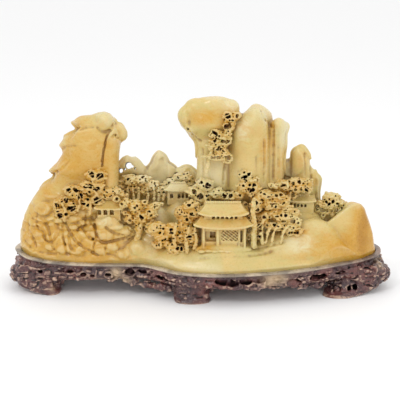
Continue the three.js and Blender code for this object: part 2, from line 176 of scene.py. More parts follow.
def at_depth(u, v, y):
    """The point on pixel u, v's line at depth y."""
    line = ray(u, v)
    return EYE + line * (y - EYE[1]) / line[1]


def pixels_of(x, y, z):
    """The pixels that show a block of places."""
    deep = (y - EYE[1]) * LOOK[1] + (z - EYE[2]) * LOOK[2]
    high = (y - EYE[1]) * LIFT[1] + (z - EYE[2]) * LIFT[2]
    u = PHOTO_SIZE / 2 + FOCAL * (x - EYE[0]) / deep
    v = PHOTO_SIZE / 2 - FOCAL * high / deep
    return u.astype(np.float32), v.astype(np.float32)


# Distances to shapes
def to_ellipsoid(x, y, z, centre, radii):
    px, py, pz = x - centre[0], y - centre[1], z - centre[2]
    near = np.sqrt((px / radii[0]) ** 2 + (py / radii[1]) ** 2 + (pz / radii[2]) ** 2)
    far = np.sqrt((px / radii[0] ** 2) ** 2 + (py / radii[1] ** 2) ** 2 + (pz / radii[2] ** 2) ** 2)
    return near * (near - 1) / np.maximum(far, 1e-6)


def to_rod(x, y, z, start, end, wide, thin):
    """A round bar from start to end, its radius going from wide to thin."""
    start, end = np.asarray(start, float), np.asarray(end, float)
    along = end - start
    length = max(float(along @ along), 1e-9)
    t = ((x - start[0]) * along[0] + (y - start[1]) * along[1] + (z - start[2]) * along[2]) / length
    t = np.clip(t, 0, 1)
    dx, dy, dz = x - start[0] - t * along[0], y - start[1] - t * along[1], z - start[2] - t * along[2]
    return np.sqrt(dx * dx + dy * dy + dz * dz) - (wide + (thin - wide) * t)


def to_box(x, y, z, low, high, round_by):
    away = [np.abs(p - (a + b) / 2) - (b - a) / 2 + round_by for p, a, b in zip((x, y, z), low, high)]
    outside = np.sqrt(sum(np.maximum(a, 0) ** 2 for a in away))
    inside = np.minimum(np.maximum(np.maximum(away[0], away[1]), away[2]), 0)
    return outside + inside - round_by


def to_outline(u, v, corners):
    """Distance in a plane to a closed outline, negative inside."""
    best = np.full(np.broadcast(u, v).shape, 1e9, np.float32)
    inside = np.zeros(best.shape, bool)
    for (ax, ay), (bx, by) in zip(corners, corners[1:] + corners[:1]):
        ex, ey = bx - ax, by - ay
        px, py = u - ax, v - ay
        t = np.clip((px * ex + py * ey) / (ex * ex + ey * ey), 0, 1)
        best = np.minimum(best, (px - t * ex) ** 2 + (py - t * ey) ** 2)
        if ay != by:
            crosses = (ay > v) != (by > v)
            inside ^= crosses & (px < ex * (v - ay) / ey)
    return np.where(inside, -1, 1) * np.sqrt(best)


def soft_min(a, b, blend):
    if blend <= 0:
        return np.minimum(a, b)
    mix = np.clip(0.5 + 0.5 * (b - a) / blend, 0, 1)
    return b + (a - b) * mix - blend * mix * (1 - mix)


def smooth_curve(points, count, closed=False):
    """Points spaced along a Catmull-Rom curve through the given ones."""
    points = np.array(points, float)
    if closed:
        ring = np.vstack([points[-1], points, points[:2]])
    else:
        ring = np.vstack([2 * points[0] - points[1], points, 2 * points[-1] - points[-2]])
    curve = []
    for p0, p1, p2, p3 in zip(ring, ring[1:], ring[2:], ring[3:]):
        for t in np.arange(count) / count:
            curve.append(0.5 * (2 * p1 + (p2 - p0) * t + (2 * p0 - 5 * p1 + 4 * p2 - p3) * t * t
                                + (3 * p1 - p0 - 3 * p2 + p3) * t ** 3))
    if not closed:
        curve.append(points[-1])
    return np.array(curve)


PLAN = [tuple(point) for point in smooth_curve(PLAN_FRONT + PLAN_BACK, 6, closed=True)]


def rim_height(x):
    return RIM_MIDDLE + np.where(x < 0, RIM_RISE, RIM_RISE_RIGHT) * (np.abs(x) / RIM_HALF) ** 2


def stretched(lattice, counts):
    """A small block of random numbers stretched smoothly over a large one."""
    for axis, count in enumerate(counts):
        place = np.linspace(0, lattice.shape[axis] - 1.001, count)
        low = place.astype(int)
        part = (place - low).astype(np.float32)
        part = part * part * (3 - 2 * part)
        shape = [1, 1, 1]
        shape[axis] = count
        part = part.reshape(shape)
        lattice = np.take(lattice, low, axis) * (1 - part) + np.take(lattice, low + 1, axis) * part
    return lattice


class Field:
    """Signed distances in mm on a box of voxels."""

    def __init__(self, low, high, voxel):
        self.voxel = voxel
        self.low = np.array(low, float)
        self.count = np.ceil((np.array(high) - self.low) / voxel).astype(int) + 1
        self.axes = [(a + voxel * np.arange(n)).astype(np.float32) for a, n in zip(self.low, self.count)]
        self.d = np.full(self.count, 50, np.float32)

    def window(self, low=None, high=None):
        """The slices of a box, and its coordinates ready to combine."""
        low = self.low if low is None else low
        high = self.low + self.count * self.voxel if high is None else high
        cut = []
        for k in range(3):
            a = int(np.clip(math.floor((low[k] - self.low[k]) / self.voxel), 0, self.count[k] - 1))
            b = int(np.clip(math.ceil((high[k] - self.low[k]) / self.voxel) + 1, a + 1, self.count[k]))
            cut.append(slice(a, b))
        x, y, z = (axis[part] for axis, part in zip(self.axes, cut))
        return tuple(cut), x[:, None, None], y[None, :, None], z[None, None, :]

    def places(self):
        """The coordinates of the whole box, ready to combine."""
        return self.window()[1:]

    def change(self, low, high, reach, shape, blend=0.0, cut=False):
        """Add a shape to the stone, or cut it out, within a box and its reach."""
        low, high = np.asarray(low, float) - reach, np.asarray(high, float) + reach
        part, x, y, z = self.window(low, high)
        if self.d[part].size == 0:
            return
        far = shape(x, y, z).astype(np.float32)
        if cut:
            self.d[part] = -soft_min(-self.d[part], far, blend)
        else:
            self.d[part] = soft_min(self.d[part], far, blend)

    def ellipsoid(self, centre, radii, blend=0.0, cut=False):
        centre, radii = np.asarray(centre, float), np.asarray(radii, float)
        self.change(centre - radii, centre + radii, 3 + blend,
                    lambda x, y, z: to_ellipsoid(x, y, z, centre, radii), blend, cut)

    def rod(self, start, end, wide, thin, blend=0.0, cut=False):
        size = max(wide, thin)
        low, high = np.minimum(start, end) - size, np.maximum(start, end) + size
        self.change(low, high, 3 + blend,
                    lambda x, y, z: to_rod(x, y, z, start, end, wide, thin), blend, cut)

    def box(self, low, high, round_by=0.3, blend=0.0, cut=False):
        self.change(low, high, 3 + blend,
                    lambda x, y, z: to_box(x, y, z, low, high, round_by), blend, cut)

    def noise(self, scale, seed):
        """Smooth random heights from -1 to 1, with bumps of the given size in mm."""
        scale = np.broadcast_to(scale, 3)
        dice = np.random.default_rng(seed)
        cells = [max(2, int(n * self.voxel / size) + 2) for n, size in zip(self.d.shape, scale)]
        return stretched(dice.uniform(-1, 1, cells).astype(np.float32), self.d.shape)

    def creases(self, scale, seed, sharp=4.0):
        """A net of V-shaped lines: 1 on a line, 0 away from it."""
        return np.clip(1 - np.abs(self.noise(scale, seed)) * sharp, 0, 1)

    def at(self, points):
        """Distances at points, between voxels too."""
        place = (np.asarray(points, float) - self.low) / self.voxel
        place = np.clip(place, 0, self.count - 1.001)
        low = place.astype(int)
        part = place - low
        total = 0
        for corner in range(8):
            step = np.array([corner & 1, corner >> 1 & 1, corner >> 2 & 1])
            share = np.prod(np.where(step, part, 1 - part), axis=1)
            i, j, k = (low + step).T
            total = total + share * self.d[i, j, k]
        return total

    def hit(self, u, v, near=-95, far=95):
        """Where pixel u, v's line first meets the stone, or None."""
        line = ray(u, v)
        start, end = at_depth(u, v, near), at_depth(u, v, far)
        steps = int(np.linalg.norm(end - start) / (0.5 * self.voxel))
        points = start + line * (np.arange(steps) * 0.5 * self.voxel)[:, None]
        place = np.round((points - self.low) / self.voxel).astype(int)
        held = np.all((place >= 0) & (place < self.count), axis=1)
        place = np.clip(place, 0, self.count - 1)
        solid = held & (self.d[place[:, 0], place[:, 1], place[:, 2]] < 0)
        return points[np.argmax(solid)] if solid.any() else None

    def blurred(self, reach):
        """The field averaged over a cube, for telling hollows from edges."""
        soft = self.d.clip(-4, 4)
        width = 2 * reach + 1
        for axis in range(3):
            pad = [(reach + 1, reach) if k == axis else (0, 0) for k in range(3)]
            run = np.cumsum(np.pad(soft, pad, mode="edge"), axis=axis, dtype=np.float32)
            size = soft.shape[axis]
            ahead, behind = (np.take(run, range(k, k + size), axis) for k in (width, 0))
            soft = (ahead - behind) / width
        return self.copy(soft)

    def copy(self, distances=None):
        other = Field.__new__(Field)
        other.voxel, other.low, other.count, other.axes = self.voxel, self.low, self.count, self.axes
        other.d = self.d.copy() if distances is None else distances
        return other


def add_form(field, name):
    """A form whose edge runs along its pixels, thin at the edge and thick inside."""
    middle, thin, thick, reach, blend, edge = FORMS[name]
    ends = np.array([at_depth(u, v, y) for u, v in edge for y in (middle - thick, middle + thick)])

    def shape(x, y, z):
        flat = to_outline(*pixels_of(x, y, z), edge) * PIXEL
        part = np.clip(-flat / reach, 0, 1)
        half = thin + (thick - thin) * np.sqrt(part * (2 - part))
        far = np.maximum(flat, (np.abs(y - middle) - half) * 0.8)
        for pixel, depth, facing in FACETS.get(name, []):
            spot, facing = at_depth(*pixel, depth), np.array(facing)
            plane = sum((p - s) * f for p, s, f in zip((x, y, z), spot, facing))
            far = -soft_min(-far, -plane / np.linalg.norm(facing), 2)
        return far

    field.change(ends.min(0), ends.max(0), 3 + blend, shape, blend)


# The rock
# Grooves: width and depth in mm, then their line in pixels
CREVICES = [
    (1.3, 2.8, [(110, 131), (107, 137), (104.6, 145), (102.5, 156), (101.8, 166)]),
    (1.8, 0.9, [(79, 129.5), (86, 127.5), (94, 127)]),
    (1.8, 0.6, [(62, 149), (68, 146.5), (76, 146)]),
    (1.8, 0.6, [(56, 172.5), (62, 168), (68, 161)]),
    (1.8, 0.8, [(97, 127), (101, 131), (106, 132), (111, 129.5), (114, 124)]),
    (1.2, 1.4, [(112, 137), (115, 135.5), (118, 138)]),
    (1.6, 2.2, [(62, 217), (65, 223), (70, 232), (75, 240), (82, 246), (90, 251), (98, 255)]),
    (1.6, 2.4, [(92, 217), (95, 227), (97.5, 236), (100.5, 241.3), (106, 242.6), (117, 240), (127, 238)]),
    (1.5, 1.5, [(69, 234), (70, 246), (74.4, 251)]),
    (1.5, 1.6, [(30.6, 216.6), (37.4, 222), (45.6, 223.5), (54, 220.7)]),
    (1.5, 1.5, [(46, 224), (48.4, 229), (51, 240), (54, 249.5)]),
    (1.5, 1.3, [(27, 228), (33.3, 238.5), (36, 247)]),
    (1.5, 1.6, [(78, 222), (84, 230), (90, 238), (97, 240)]),
    (1.5, 1.3, [(106, 227.6), (114, 233), (124, 235.8)]),
    (1.3, 1.5, [(126.5, 222), (130.6, 230.3), (137.5, 233)]),
    (1.6, 0.8, [(24, 240), (30, 247), (40, 252), (56, 254)]),
    (1.6, 1.7, [(273, 122), (273.5, 150), (273, 182)]),
    (2.6, 0.9, [(265, 140), (265.5, 160), (265, 182)]),
    (2.4, 0.7, [(278.5, 136), (279, 160), (278.5, 180)]),
    (2.6, 0.6, [(257, 158), (257.5, 172), (257, 182)]),
    (2.4, 0.7, [(202, 150), (202, 166), (201.5, 184)]),
    (2.4, 0.6, [(208, 158), (208.5, 170), (208, 184)]),
    (2.2, 0.9, [(226, 164), (225, 172), (224, 184)]),
    (2.2, 0.7, [(261, 108), (265, 118), (271, 127)]),
    (1.5, 1.5, [(187, 129), (192, 134.5), (196, 138), (201, 141)]),
    (2.4, 0.7, [(186, 112), (189, 119), (188.5, 126)]),
    (1.8, 0.6, [(305, 154), (306, 164), (305.5, 176)]),
    (1.3, 1.7, [(310.5, 166), (311, 178), (310, 192)]),
    (1.5, 0.9, [(316, 180), (315.5, 188), (316, 196)]),
    (2.4, 0.4, [(200, 258), (225, 256.5), (255, 254), (285, 248)]),
    (2.4, 0.4, [(236, 249), (262, 246.5), (285, 241)]),
]
# Soft bulges: pixel, depth y, half width and half height in mm
LOBES = [
    (186, 116, -6, 10, 12), (196, 105, -4, 12, 8), (214, 101, -4, 14, 8), (231, 108, -4, 10, 10),
    (208, 122, -12, 16, 9), (192, 128, -8, 8, 6), (90, 150, -10, 22, 30), (72, 168, -8, 18, 10),
]
# Little round pits: pixel, radius and depth in mm
DIMPLES = [
    (188, 129, 1.6, 4), (195.3, 136.6, 1.8, 4), (115.5, 135, 1.4, 3), (118.5, 138, 1, 3), (93, 239, 2, 4),
]
# Lumps of the back: x and z as from, to and step, and the least y
BACK_X, BACK_Z, BACK_FROM = (-200, 205, 17), (48, 190, 15), 8


def plan_distance(field):
    """Distance to the mountain's foot outline at each place of a field, seen from above."""
    x, y = field.axes[0][:, None], field.axes[1][None, :]
    return to_outline(x, y, PLAN)[:, :, None]


def scatter(field, region, step, size, seed, sink=0.5, blend=1.2, squash=0.8):
    """Rounded lumps of rock, let into the surface at jittered pixels of a region."""
    dice = np.random.default_rng(seed)
    for u in np.arange(region[0], region[2], step):
        for v in np.arange(region[1], region[3], step):
            pu, pv = u + dice.uniform(-0.5, 0.5) * step, v + dice.uniform(-0.5, 0.5) * step
            radius = dice.uniform(*size)
            wide, tall = dice.uniform(0.9, 1.5), dice.uniform(0.6, 1.1) * squash
            spot = field.hit(pu, pv)
            if spot is None:
                continue
            centre = spot + LOOK * radius * sink
            field.ellipsoid(centre, (radius * wide, radius, radius * tall), blend)


def engrave(field, wide, deep, line):
    """A groove with soft sides along a line of pixels."""
    spots = [field.hit(u, v) for u, v in smooth_curve(line, 6)]
    for spot, after in zip(spots[:-1], spots[1:]):
        if spot is None or after is None or np.linalg.norm(after - spot) > 9:
            continue
        push = LOOK * (deep - wide)
        field.rod(spot + push, after + push, wide, wide, 1.2, cut=True)


def back_lumps(field):
    """Plainer, larger facets on the hidden side."""
    dice = np.random.default_rng(71)
    for x in np.arange(*BACK_X):
        for z in np.arange(*BACK_Z):
            px, pz = x + dice.uniform(-6, 6), z + dice.uniform(-6, 6)
            radius = dice.uniform(9, 15)
            i, k = ((np.array([px, pz]) - field.low[[0, 2]]) / field.voxel).round().astype(int)
            column = field.d[np.clip(i, 0, field.count[0] - 1), :, np.clip(k, 0, field.count[2] - 1)] < 0
            if not column.any():
                continue
            y = field.axes[1][len(column) - 1 - int(np.argmax(column[::-1]))]
            if y < BACK_FROM:
                continue
            field.ellipsoid((px, y - radius * 0.62, pz), (radius * 1.1, radius, radius * 1.3), 3)


# The box of the rock's field, and the regions of pixels with lumps on the crags and above them
ROCK_BOX = ((-223, -77, 27), (221, 77, 234))
CRAG_REGION, SLOPE_REGION = (26, 212, 140, 258), (28, 190, 62, 212)
# Middle and half sizes, along x and z, of the folded crags and of the layered bank in front
CRAGS = ((-150, 62), (82, 34))
BANK = ((40, 50), (90, 14))
MOUND_BLEND, LOBE_BLEND, LOBE_DEEP = 8, 6, 9


def roughen(field):
    """Folds on the crags, broad unevenness behind and thin layers along the bank."""
    x, y, z = field.places()
    (crag_x, crag_z), (crag_wide, crag_tall) = CRAGS
    crag = np.exp(-(((x - crag_x) / crag_wide) ** 2 + ((z - crag_z) / crag_tall) ** 2) ** 2)
    behind = np.clip(np.gradient(field.d, field.voxel, axis=1) * 2 - 0.6, 0, 1)
    rough = np.maximum(crag, 0.7 * behind).astype(np.float32)
    folded = (crag * (1 - behind)).astype(np.float32)
    field.d += field.noise(17, 1) * (0.6 + 0.8 * rough)
    field.d += field.noise(5.5, 2) * (0.1 + 0.7 * rough)
    field.d += field.creases((12, 15, 16), 3, 3.4) * 2.6 * folded
    field.d += field.creases((7, 8, 8), 4, 2.6) * 0.7 * folded
    field.d += np.abs(field.noise((22, 22, 26), 12)) * 3.0 * behind.astype(np.float32)
    (bank_x, bank_z), (bank_wide, bank_tall) = BANK
    layers = np.exp(-((x - bank_x) / bank_wide) ** 4 - ((z - bank_z) / bank_tall) ** 4) * (y < 0)
    field.d += field.noise((50, 30, 4.5), 9) * 0.7 * layers


def fit_to_stand(field):
    """Give the rock its foot along the rim, and keep it inside the recess and under its top."""
    x, _, z = field.places()
    plan = plan_distance(field)
    above = z - rim_height(x) - 1
    foot = np.maximum(plan + 6 * np.clip(above / 9, 0, 1) ** 2, above - 9)
    field.d = soft_min(field.d, foot.astype(np.float32), 4)
    limit = np.maximum(plan - 3 * np.clip(above / 7, 0, 1), STONE_FLOOR - z)
    field.d = np.maximum(field.d, limit.astype(np.float32))
    field.d = np.maximum(field.d, z - STONE_TOP)


def make_rock(voxel):
    field = Field(*ROCK_BOX, voxel)
    for x, y, wide, deep, top in MOUNDS:
        field.ellipsoid((x, y, STONE_FLOOR), (wide, deep, top - STONE_FLOOR), MOUND_BLEND)
    for name in FORMS:
        add_form(field, name)
    for u, v, y, wide, tall in LOBES:
        field.ellipsoid(at_depth(u, v, y), (wide, LOBE_DEEP, tall), LOBE_BLEND)
    field.d = field.blurred(1).d
    smooth = field.copy()
    back_lumps(field)
    field.d = np.maximum(field.d, smooth.d - 2.5)
    scatter(field, CRAG_REGION, 12, (8, 13), 11, sink=0.58, blend=1.0)
    scatter(field, SLOPE_REGION, 12, (6, 9), 12, sink=0.66, blend=3)
    from_left_end = np.clip((field.places()[0] + 205) / 30, 0, 1)
    field.d = np.maximum(field.d, smooth.d - 1.5 - 3 * from_left_end)
    roughen(field)
    fit_to_stand(field)
    for wide, deep, line in CREVICES:
        engrave(field, wide, deep, line)
    for u, v, radius, deep in DIMPLES:
        spot = field.hit(u, v)
        field.rod(spot - LOOK, spot + LOOK * deep, radius, radius * 0.6, 0.6, cut=True)
    return field


# Meshes
CRUMB_FACES = 150


def skin(name, field, most, keep_parts=False):
    """A field's surface as an object in metres, with at most so many triangles."""
    grid = openvdb.FloatGrid(background=3.0 * field.voxel)
    grid.copyFromArray(field.d.clip(-3 * field.voxel, 3 * field.voxel))
    points, triangles, quads = grid.convertToPolygons(isovalue=0.0)
    points = points * field.voxel + field.low
    loops = np.concatenate([quads.ravel(), triangles.ravel()]).astype(np.int32)
    sizes = np.concatenate([np.full(len(quads), 4), np.full(len(triangles), 3)])
    points, loops, sizes = large_parts(points, loops, sizes, keep_parts)
    starts = starts_of(sizes)
    if volume(points, loops, starts, sizes) < 0:
        place = np.arange(len(loops)) - np.repeat(starts, sizes)
        loops = loops[np.repeat(starts + sizes, sizes) - 1 - place]
    mesh = bpy.data.meshes.new(name)
    mesh.vertices.add(len(points))
    mesh.vertices.foreach_set("co", (points * MM).astype(np.float32).ravel())
    mesh.loops.add(len(loops))
    mesh.loops.foreach_set("vertex_index", loops.astype(np.int32))
    mesh.polygons.add(len(sizes))
    mesh.polygons.foreach_set("loop_start", starts)
    mesh.update(calc_edges=True)
    mesh.validate()
    thing = bpy.data.objects.new(name, mesh)
    bpy.context.scene.collection.objects.link(thing)
    count = int((sizes - 2).sum())
    if count > most:
        make_lean(thing, 0.98 * most / count)
    thing.data.shade_smooth()
    return thing


def make_lean(thing, share):
    """Merge an object's triangles down to a share of them."""
    full, modifier = thing.data, thing.modifiers.new("thin", "DECIMATE")
    modifier.ratio = share
    graph = bpy.context.evaluated_depsgraph_get()
    lean = bpy.data.meshes.new_from_object(thing.evaluated_get(graph))
    thing.modifiers.clear()
    thing.data = lean
    bpy.data.meshes.remove(full)
    lean.name = thing.name


def starts_of(sizes):
    """Where each face's corners start in the row of all corners."""
    return np.concatenate([[0], np.cumsum(sizes)[:-1]]).astype(np.int32)


def large_parts(points, loops, sizes, keep_parts):
    """The largest connected part, or each part but the crumbs."""
    starts = starts_of(sizes)
    face_group = parts_of(len(points), loops, starts, sizes)[loops[starts]]
    tally = np.bincount(face_group)
    keep = (tally > CRUMB_FACES if keep_parts else tally == tally.max())[face_group]
    used, loops = np.unique(loops[np.repeat(keep, sizes)], return_inverse=True)
    return points[used], loops, sizes[keep]


def parts_of(count, loops, starts, sizes):
    """A number for each point, the same for points that faces join."""
    first = np.repeat(loops[starts], sizes)
    group = np.arange(count)
    while True:
        low = np.minimum(group[first], group[loops])
        joined = group.copy()
        np.minimum.at(joined, group[first], low)
        np.minimum.at(joined, group[loops], low)
        joined = joined[joined]
        joined = joined[joined]
        if np.array_equal(joined, group):
            return group
        group = joined


def volume(points, loops, starts, sizes):
    a = points[loops[starts]]
    total = 0.0
    for k in (1, 2):
        good = sizes > k + 1
        b = points[loops[starts[good] + k]]
        c = points[loops[starts[good] + k + 1]]
        total += float(np.einsum("ij,ij->i", a[good], np.cross(b, c)).sum())
    return total


def mark(thing, name, values):
    layer = thing.data.attributes.new(name, "FLOAT", "POINT")
    layer.data.foreach_set("value", np.asarray(values, np.float32))


def points_of(thing):
    points = np.empty(3 * len(thing.data.vertices), np.float32)
    thing.data.vertices.foreach_get("co", points)
    return points.reshape(-1, 3) / MM


# Colour zones of the stone: pixel, depth y, half sizes along x, y and z in mm, strength. Where the ochre
# zones are strongest the stone turns deeper, partly its own honey-brown and partly painted shade on faces
# turned from the light, most of all on the right boulder and the crags.
OCHRE_AND_SHADE = [
    (372, 240, -10, 18, 60, 50, 1.1), (85, 150, 0, 46, 60, 46, 0.75), (60, 155, 0, 22, 60, 26, 0.5),
    (76, 170, -4, 32, 60, 22, 0.6), (74, 119, 0, 16, 50, 8, 0.7), (110, 156, 0, 14, 40, 30, 0.8),
    (50, 168, 0, 14, 60, 8, 0.6), (50, 205, -10, 34, 50, 20, 0.45), (48, 192, -4, 16, 40, 12, 0.7),
    (38, 236, -20, 48, 60, 34, 0.95), (90, 240, -30, 50, 50, 28, 0.9), (100, 258, -40, 60, 30, 10, 0.6),
    (85, 200, -20, 36, 30, 20, 0.6), (136, 212, -22, 26, 24, 20, 0.85), (168, 236, -40, 34, 30, 22, 0.85),
    (186, 214, -40, 18, 24, 16, 0.65), (205, 246, -50, 20, 20, 8, 0.8), (208, 116, -8, 18, 50, 10, 0.95),
    (192, 116, -8, 14, 60, 18, 0.4), (230, 112, -8, 12, 60, 14, 0.4), (246, 132, -20, 22, 50, 26, 0.45),
    (250, 160, -20, 24, 40, 20, 0.2), (264, 150, -10, 7, 50, 24, 0.75), (273, 135, -10, 6, 50, 24, 0.75),
    (281, 166, 0, 8, 40, 20, 0.6), (300, 158, 28, 10, 40, 16, 0.6), (314, 178, 28, 6, 30, 10, 0.6),
    (284, 192, -6, 18, 40, 10, 0.8), (300, 184, -6, 24, 30, 8, 0.6), (250, 190, -20, 20, 30, 18, 0.45),
    (262, 214, -30, 40, 30, 26, 0.5), (300, 230, -30, 12, 30, 6, 0.9), (366, 232, -10, 18, 60, 44, 2.5),
    (345, 246, -30, 40, 50, 18, 1.2), (322, 236, -30, 26, 40, 16, 0.45), (300, 256, -50, 46, 40, 10, 0.4),
    (225, 213, -40, 44, 30, 12, 0.35), (225, 223, -40, 44, 30, 10, 0.5), (215, 236, -30, 36, 14, 16, 0.6),
    (140, 184, 14, 30, 30, 10, 0.3), (218, 140, -16, 14, 20, 22, 0.55), (230, 118, -12, 10, 20, 8, 0.7),
    (330, 200, 2, 20, 24, 10, 0.3),
]
# Paler zones of the stone. Three are painted highlights: the cloud head's top at (215, 98), the front
# column's face at (243, 130) and the bank's lower edge at (190, 266).
PALE_AND_HIGHLIGHTS = [
    (231, 104, -4, 12, 60, 8, 0.9), (208, 172, -8, 26, 40, 26, 0.4), (295, 250, -50, 26, 30, 8, 0.5),
    (300, 240, -40, 20, 20, 8, 0.6), (157, 166, 38, 20, 60, 20, 1.0), (240, 172, -20, 20, 30, 16, 0.3),
    (262, 108, 30, 26, 50, 16, 0.8), (284, 132, 20, 8, 60, 26, 0.8), (155, 162, 40, 30, 60, 24, 1.0),
    (130, 160, 38, 26, 60, 10, 0.5), (172, 172, 44, 24, 60, 14, 0.9), (104, 118, 0, 14, 50, 8, 0.4),
    (243, 130, -26, 9, 26, 14, 0.9), (214, 172, 0, 16, 40, 20, 0.5), (215, 98, 8, 12, 40, 5, 0.6),
    (190, 266, -60, 60, 30, 7, 0.5), (150, 244, -40, 12, 20, 12, 0.7), (300, 240, -40, 12, 20, 8, 0.9),
    (287, 172, 34, 12, 40, 14, 0.9), (104, 222, -30, 14, 20, 8, 0.6), (40, 205, -10, 16, 30, 10, 0.4),
    (160, 212, -10, 14, 26, 14, 0.7), (318, 224, -20, 14, 24, 6, 0.5), (120, 222, -20, 14, 20, 8, 0.4),
    (140, 200, 0, 16, 20, 6, 0.5), (216, 250, -40, 16, 16, 5, 0.6), (58, 238, -24, 8, 20, 12, 0.3),
    (300, 222, -16, 12, 20, 8, 0.5),
]


def zone_value(points, zones):
    """How strongly each point lies in the zones, from 0."""
    total = np.zeros(len(points))
    for u, v, y, rx, ry, rz, strength in zones:
        centre = at_depth(u, v, y)
        away = ((points - centre) / (rx, ry, rz)) ** 2
        total = total + (1 - total.clip(0, 1)) * strength * np.exp(-away.sum(1) * 1.1)
    return total


# The stand
# Feet: middle and half sizes of the sole, then of the part under the apron, as x and y
FEET = [
    ((-177, -34), (10, 9), (-196, -17), (34, 25)),
    ((-9, -62), (20, 9), (-9, -50), (25, 17)),
    ((164, -42), (19, 12), (190, -17), (40, 24)),
    ((-178, 30), (15, 10), (-196, 15), (32, 19)),
    ((0, 61), (20, 9), (0, 52), (25, 17)),
    ((168, 36), (17, 10), (190, 18), (38, 20)),
]
# Height on a foot, and how far it has widened there from its sole to its top
FOOT_RINGS = [(0, 0), (3, 0.4), (8, 0.76), (14, 0.96), (20, 1), (28, 0.92), (35, 0.66)]
# Height on the apron, and how far it stands out past the mountain's foot
STAND_SECTION = [(19, -2), (21, 4), (26, 7.5), (31, 7), (34, 5)]
STAND_BOX = ((-233, -81, -3), (233, 81, 50))
# The solid core behind the apron's carving reaches this far past the mountain's foot
CORE_WALL = 1.8
PIT_DEEP, BOSS_DEEP, HEM = 8.5, 5.5, 3
# Cream patches of the apron: pixel, depth y, half sizes in mm, strength
PATCHES = [
    (275, 279, -70, 14, 20, 7, 1.0), (268, 284, -70, 5, 20, 4, 0.8), (300, 271, -66, 8, 14, 3, 0.7),
    (116, 273, -45, 7, 20, 8, 0.9), (124, 281, -45, 8, 20, 5, 0.6), (52, 291, -44, 3, 20, 3, 0.5),
    (165, 268, -62, 70, 30, 3, 0.8), (98, 281, -44, 8, 16, 3, 0.5), (380, 262, -20, 6, 30, 4, 0.5),
]
# Where the raised lines are worn pale
LACE = [
    (42, 282, -44, 26, 40, 14, 1.0), (90, 276, -44, 40, 40, 10, 0.9), (130, 280, -44, 20, 30, 12, 0.7),
    (262, 286, -70, 20, 20, 7, 0.8), (310, 276, -64, 24, 30, 8, 0.25), (362, 276, -36, 30, 40, 8, 0.2),
    (182, 300, -66, 14, 20, 5, 0.6),
]
# Pits seen in the apron: pixel, half width and half height in mm
PITS = [
    (68, 270, 9, 3.5), (83, 275, 4, 3), (92, 276, 3.2, 2.6), (130, 272, 6, 4.5), (143, 271, 6, 3.5),
    (160, 279, 11, 4), (152, 280, 4, 3.5), (224, 282, 11, 5), (233, 284, 7, 4), (246, 281, 8, 4.5),
    (259, 280, 8, 4), (294, 283, 10, 4.5), (316, 278, 8, 4), (322, 276, 6, 3), (349, 288, 2.6, 2.6),
    (355, 287, 3, 3), (44, 262, 5, 2.5), (108, 275, 4, 2.5), (40, 272, 3, 2.5), (340, 272, 7, 2.2),
]
# Only pits from this x on are cut in the back too
PITS_BEHIND_FROM = -140
# Bosses that hang from the apron: pixel, half width and half height in mm
HANGING = [
    (132, 281, 12, 6), (148, 284, 10, 6), (162, 287, 12, 6), (228, 287, 14, 5), (250, 287, 14, 5),
    (276, 285, 12, 5), (300, 285, 12, 5), (316, 284, 10, 5), (112, 279, 9, 4),
]
# Heights of the rows of bosses all round
BOSS_ROWS = (24.5, 31.0)
# Scrolls on the feet: corners of a region of pixels, and how many it holds
SCROLL_REGIONS = [(14, 266, 58, 292, 16), (176, 282, 210, 301, 10), (322, 264, 386, 296, 22)]


def foot_shape(sole, half, top, spread):
    heights, widening = zip(*FOOT_RINGS)

    def shape(x, y, z):
        t = np.interp(z, heights, widening)
        cx, cy = sole[0] + (top[0] - sole[0]) * t, sole[1] + (top[1] - sole[1]) * t
        rx, ry = half[0] + (spread[0] - half[0]) * t, half[1] + (spread[1] - half[1]) * t
        px, py = x - cx, y - cy
        near = np.sqrt((px / rx) ** 2 + (py / ry) ** 2)
        far = np.sqrt((px / rx ** 2) ** 2 + (py / ry ** 2) ** 2)
        side = near * (near - 1) / np.maximum(far, 1e-6)
        return np.maximum(side, np.maximum(z - heights[-1], -z))

    return shape


def make_stand(voxel):
    """The stand's field, and the same before its pits are cut."""
    field = Field(*STAND_BOX, voxel)
    x, y, z = field.places()
    plan, rim = plan_distance(field), rim_height(x)
    apron = np.interp(z, *zip(*STAND_SECTION)).astype(np.float32)
    field.d = np.maximum(plan - apron, np.maximum(UNDERSIDE - z, z - rim + HEM)).astype(np.float32)
    for sole, half, top, spread in FEET:
        low = np.append(np.minimum(sole, top) - spread, 0)
        high = np.append(np.maximum(sole, top) + spread, FOOT_RINGS[-1][0])
        field.change(low, high, 4, foot_shape(sole, half, top, spread), 4)
    hang_bosses(field)
    dice = np.random.default_rng(31)
    apron_lumps(field, dice)
    foot_scrolls(field, dice)
    carved = np.clip((z - 2.5) / 4, 0, 1) * np.clip((rim - 4 - z) / 3, 0, 1)
    folds = field.creases((9, 9, 6), 7, 2.6) * 2.6 + field.creases((4.5, 4.5, 3.5), 8, 2.2) * 1.2
    field.d += (field.noise(9, 5) * 1.5 + field.noise(3.2, 6) * 0.8 + folds) * carved
    whole = field.copy()
    cut_pits(field)
    core = np.maximum(plan - CORE_WALL, np.maximum(UNDERSIDE + 1 - z, z - rim + HEM))
    field.d = np.minimum(field.d, core.astype(np.float32))
    add_lip(field, plan, rim, z)
    recess = np.maximum(plan - GAP, RECESS_FLOOR - z)
    past_box = np.maximum(np.maximum(np.abs(x) - HALF_LENGTH, np.abs(y) - HALF_WIDTH), -z)
    field.d = np.maximum(field.d, np.maximum(-recess, past_box).astype(np.float32))
    return field, whole


def cut_pits(field):
    """Pits in the apron's front, and past the left foot in its back too."""
    for u, v, wide, tall in PITS:
        spot = field.hit(u, v)
        if spot is None:
            continue
        field.ellipsoid(spot + LOOK * 2, (wide, PIT_DEEP, tall), 0.8, cut=True)
        if spot[0] > PITS_BEHIND_FROM:
            field.ellipsoid((spot[0], 2 - spot[1], spot[2]), (wide, PIT_DEEP, tall), 0.8, cut=True)


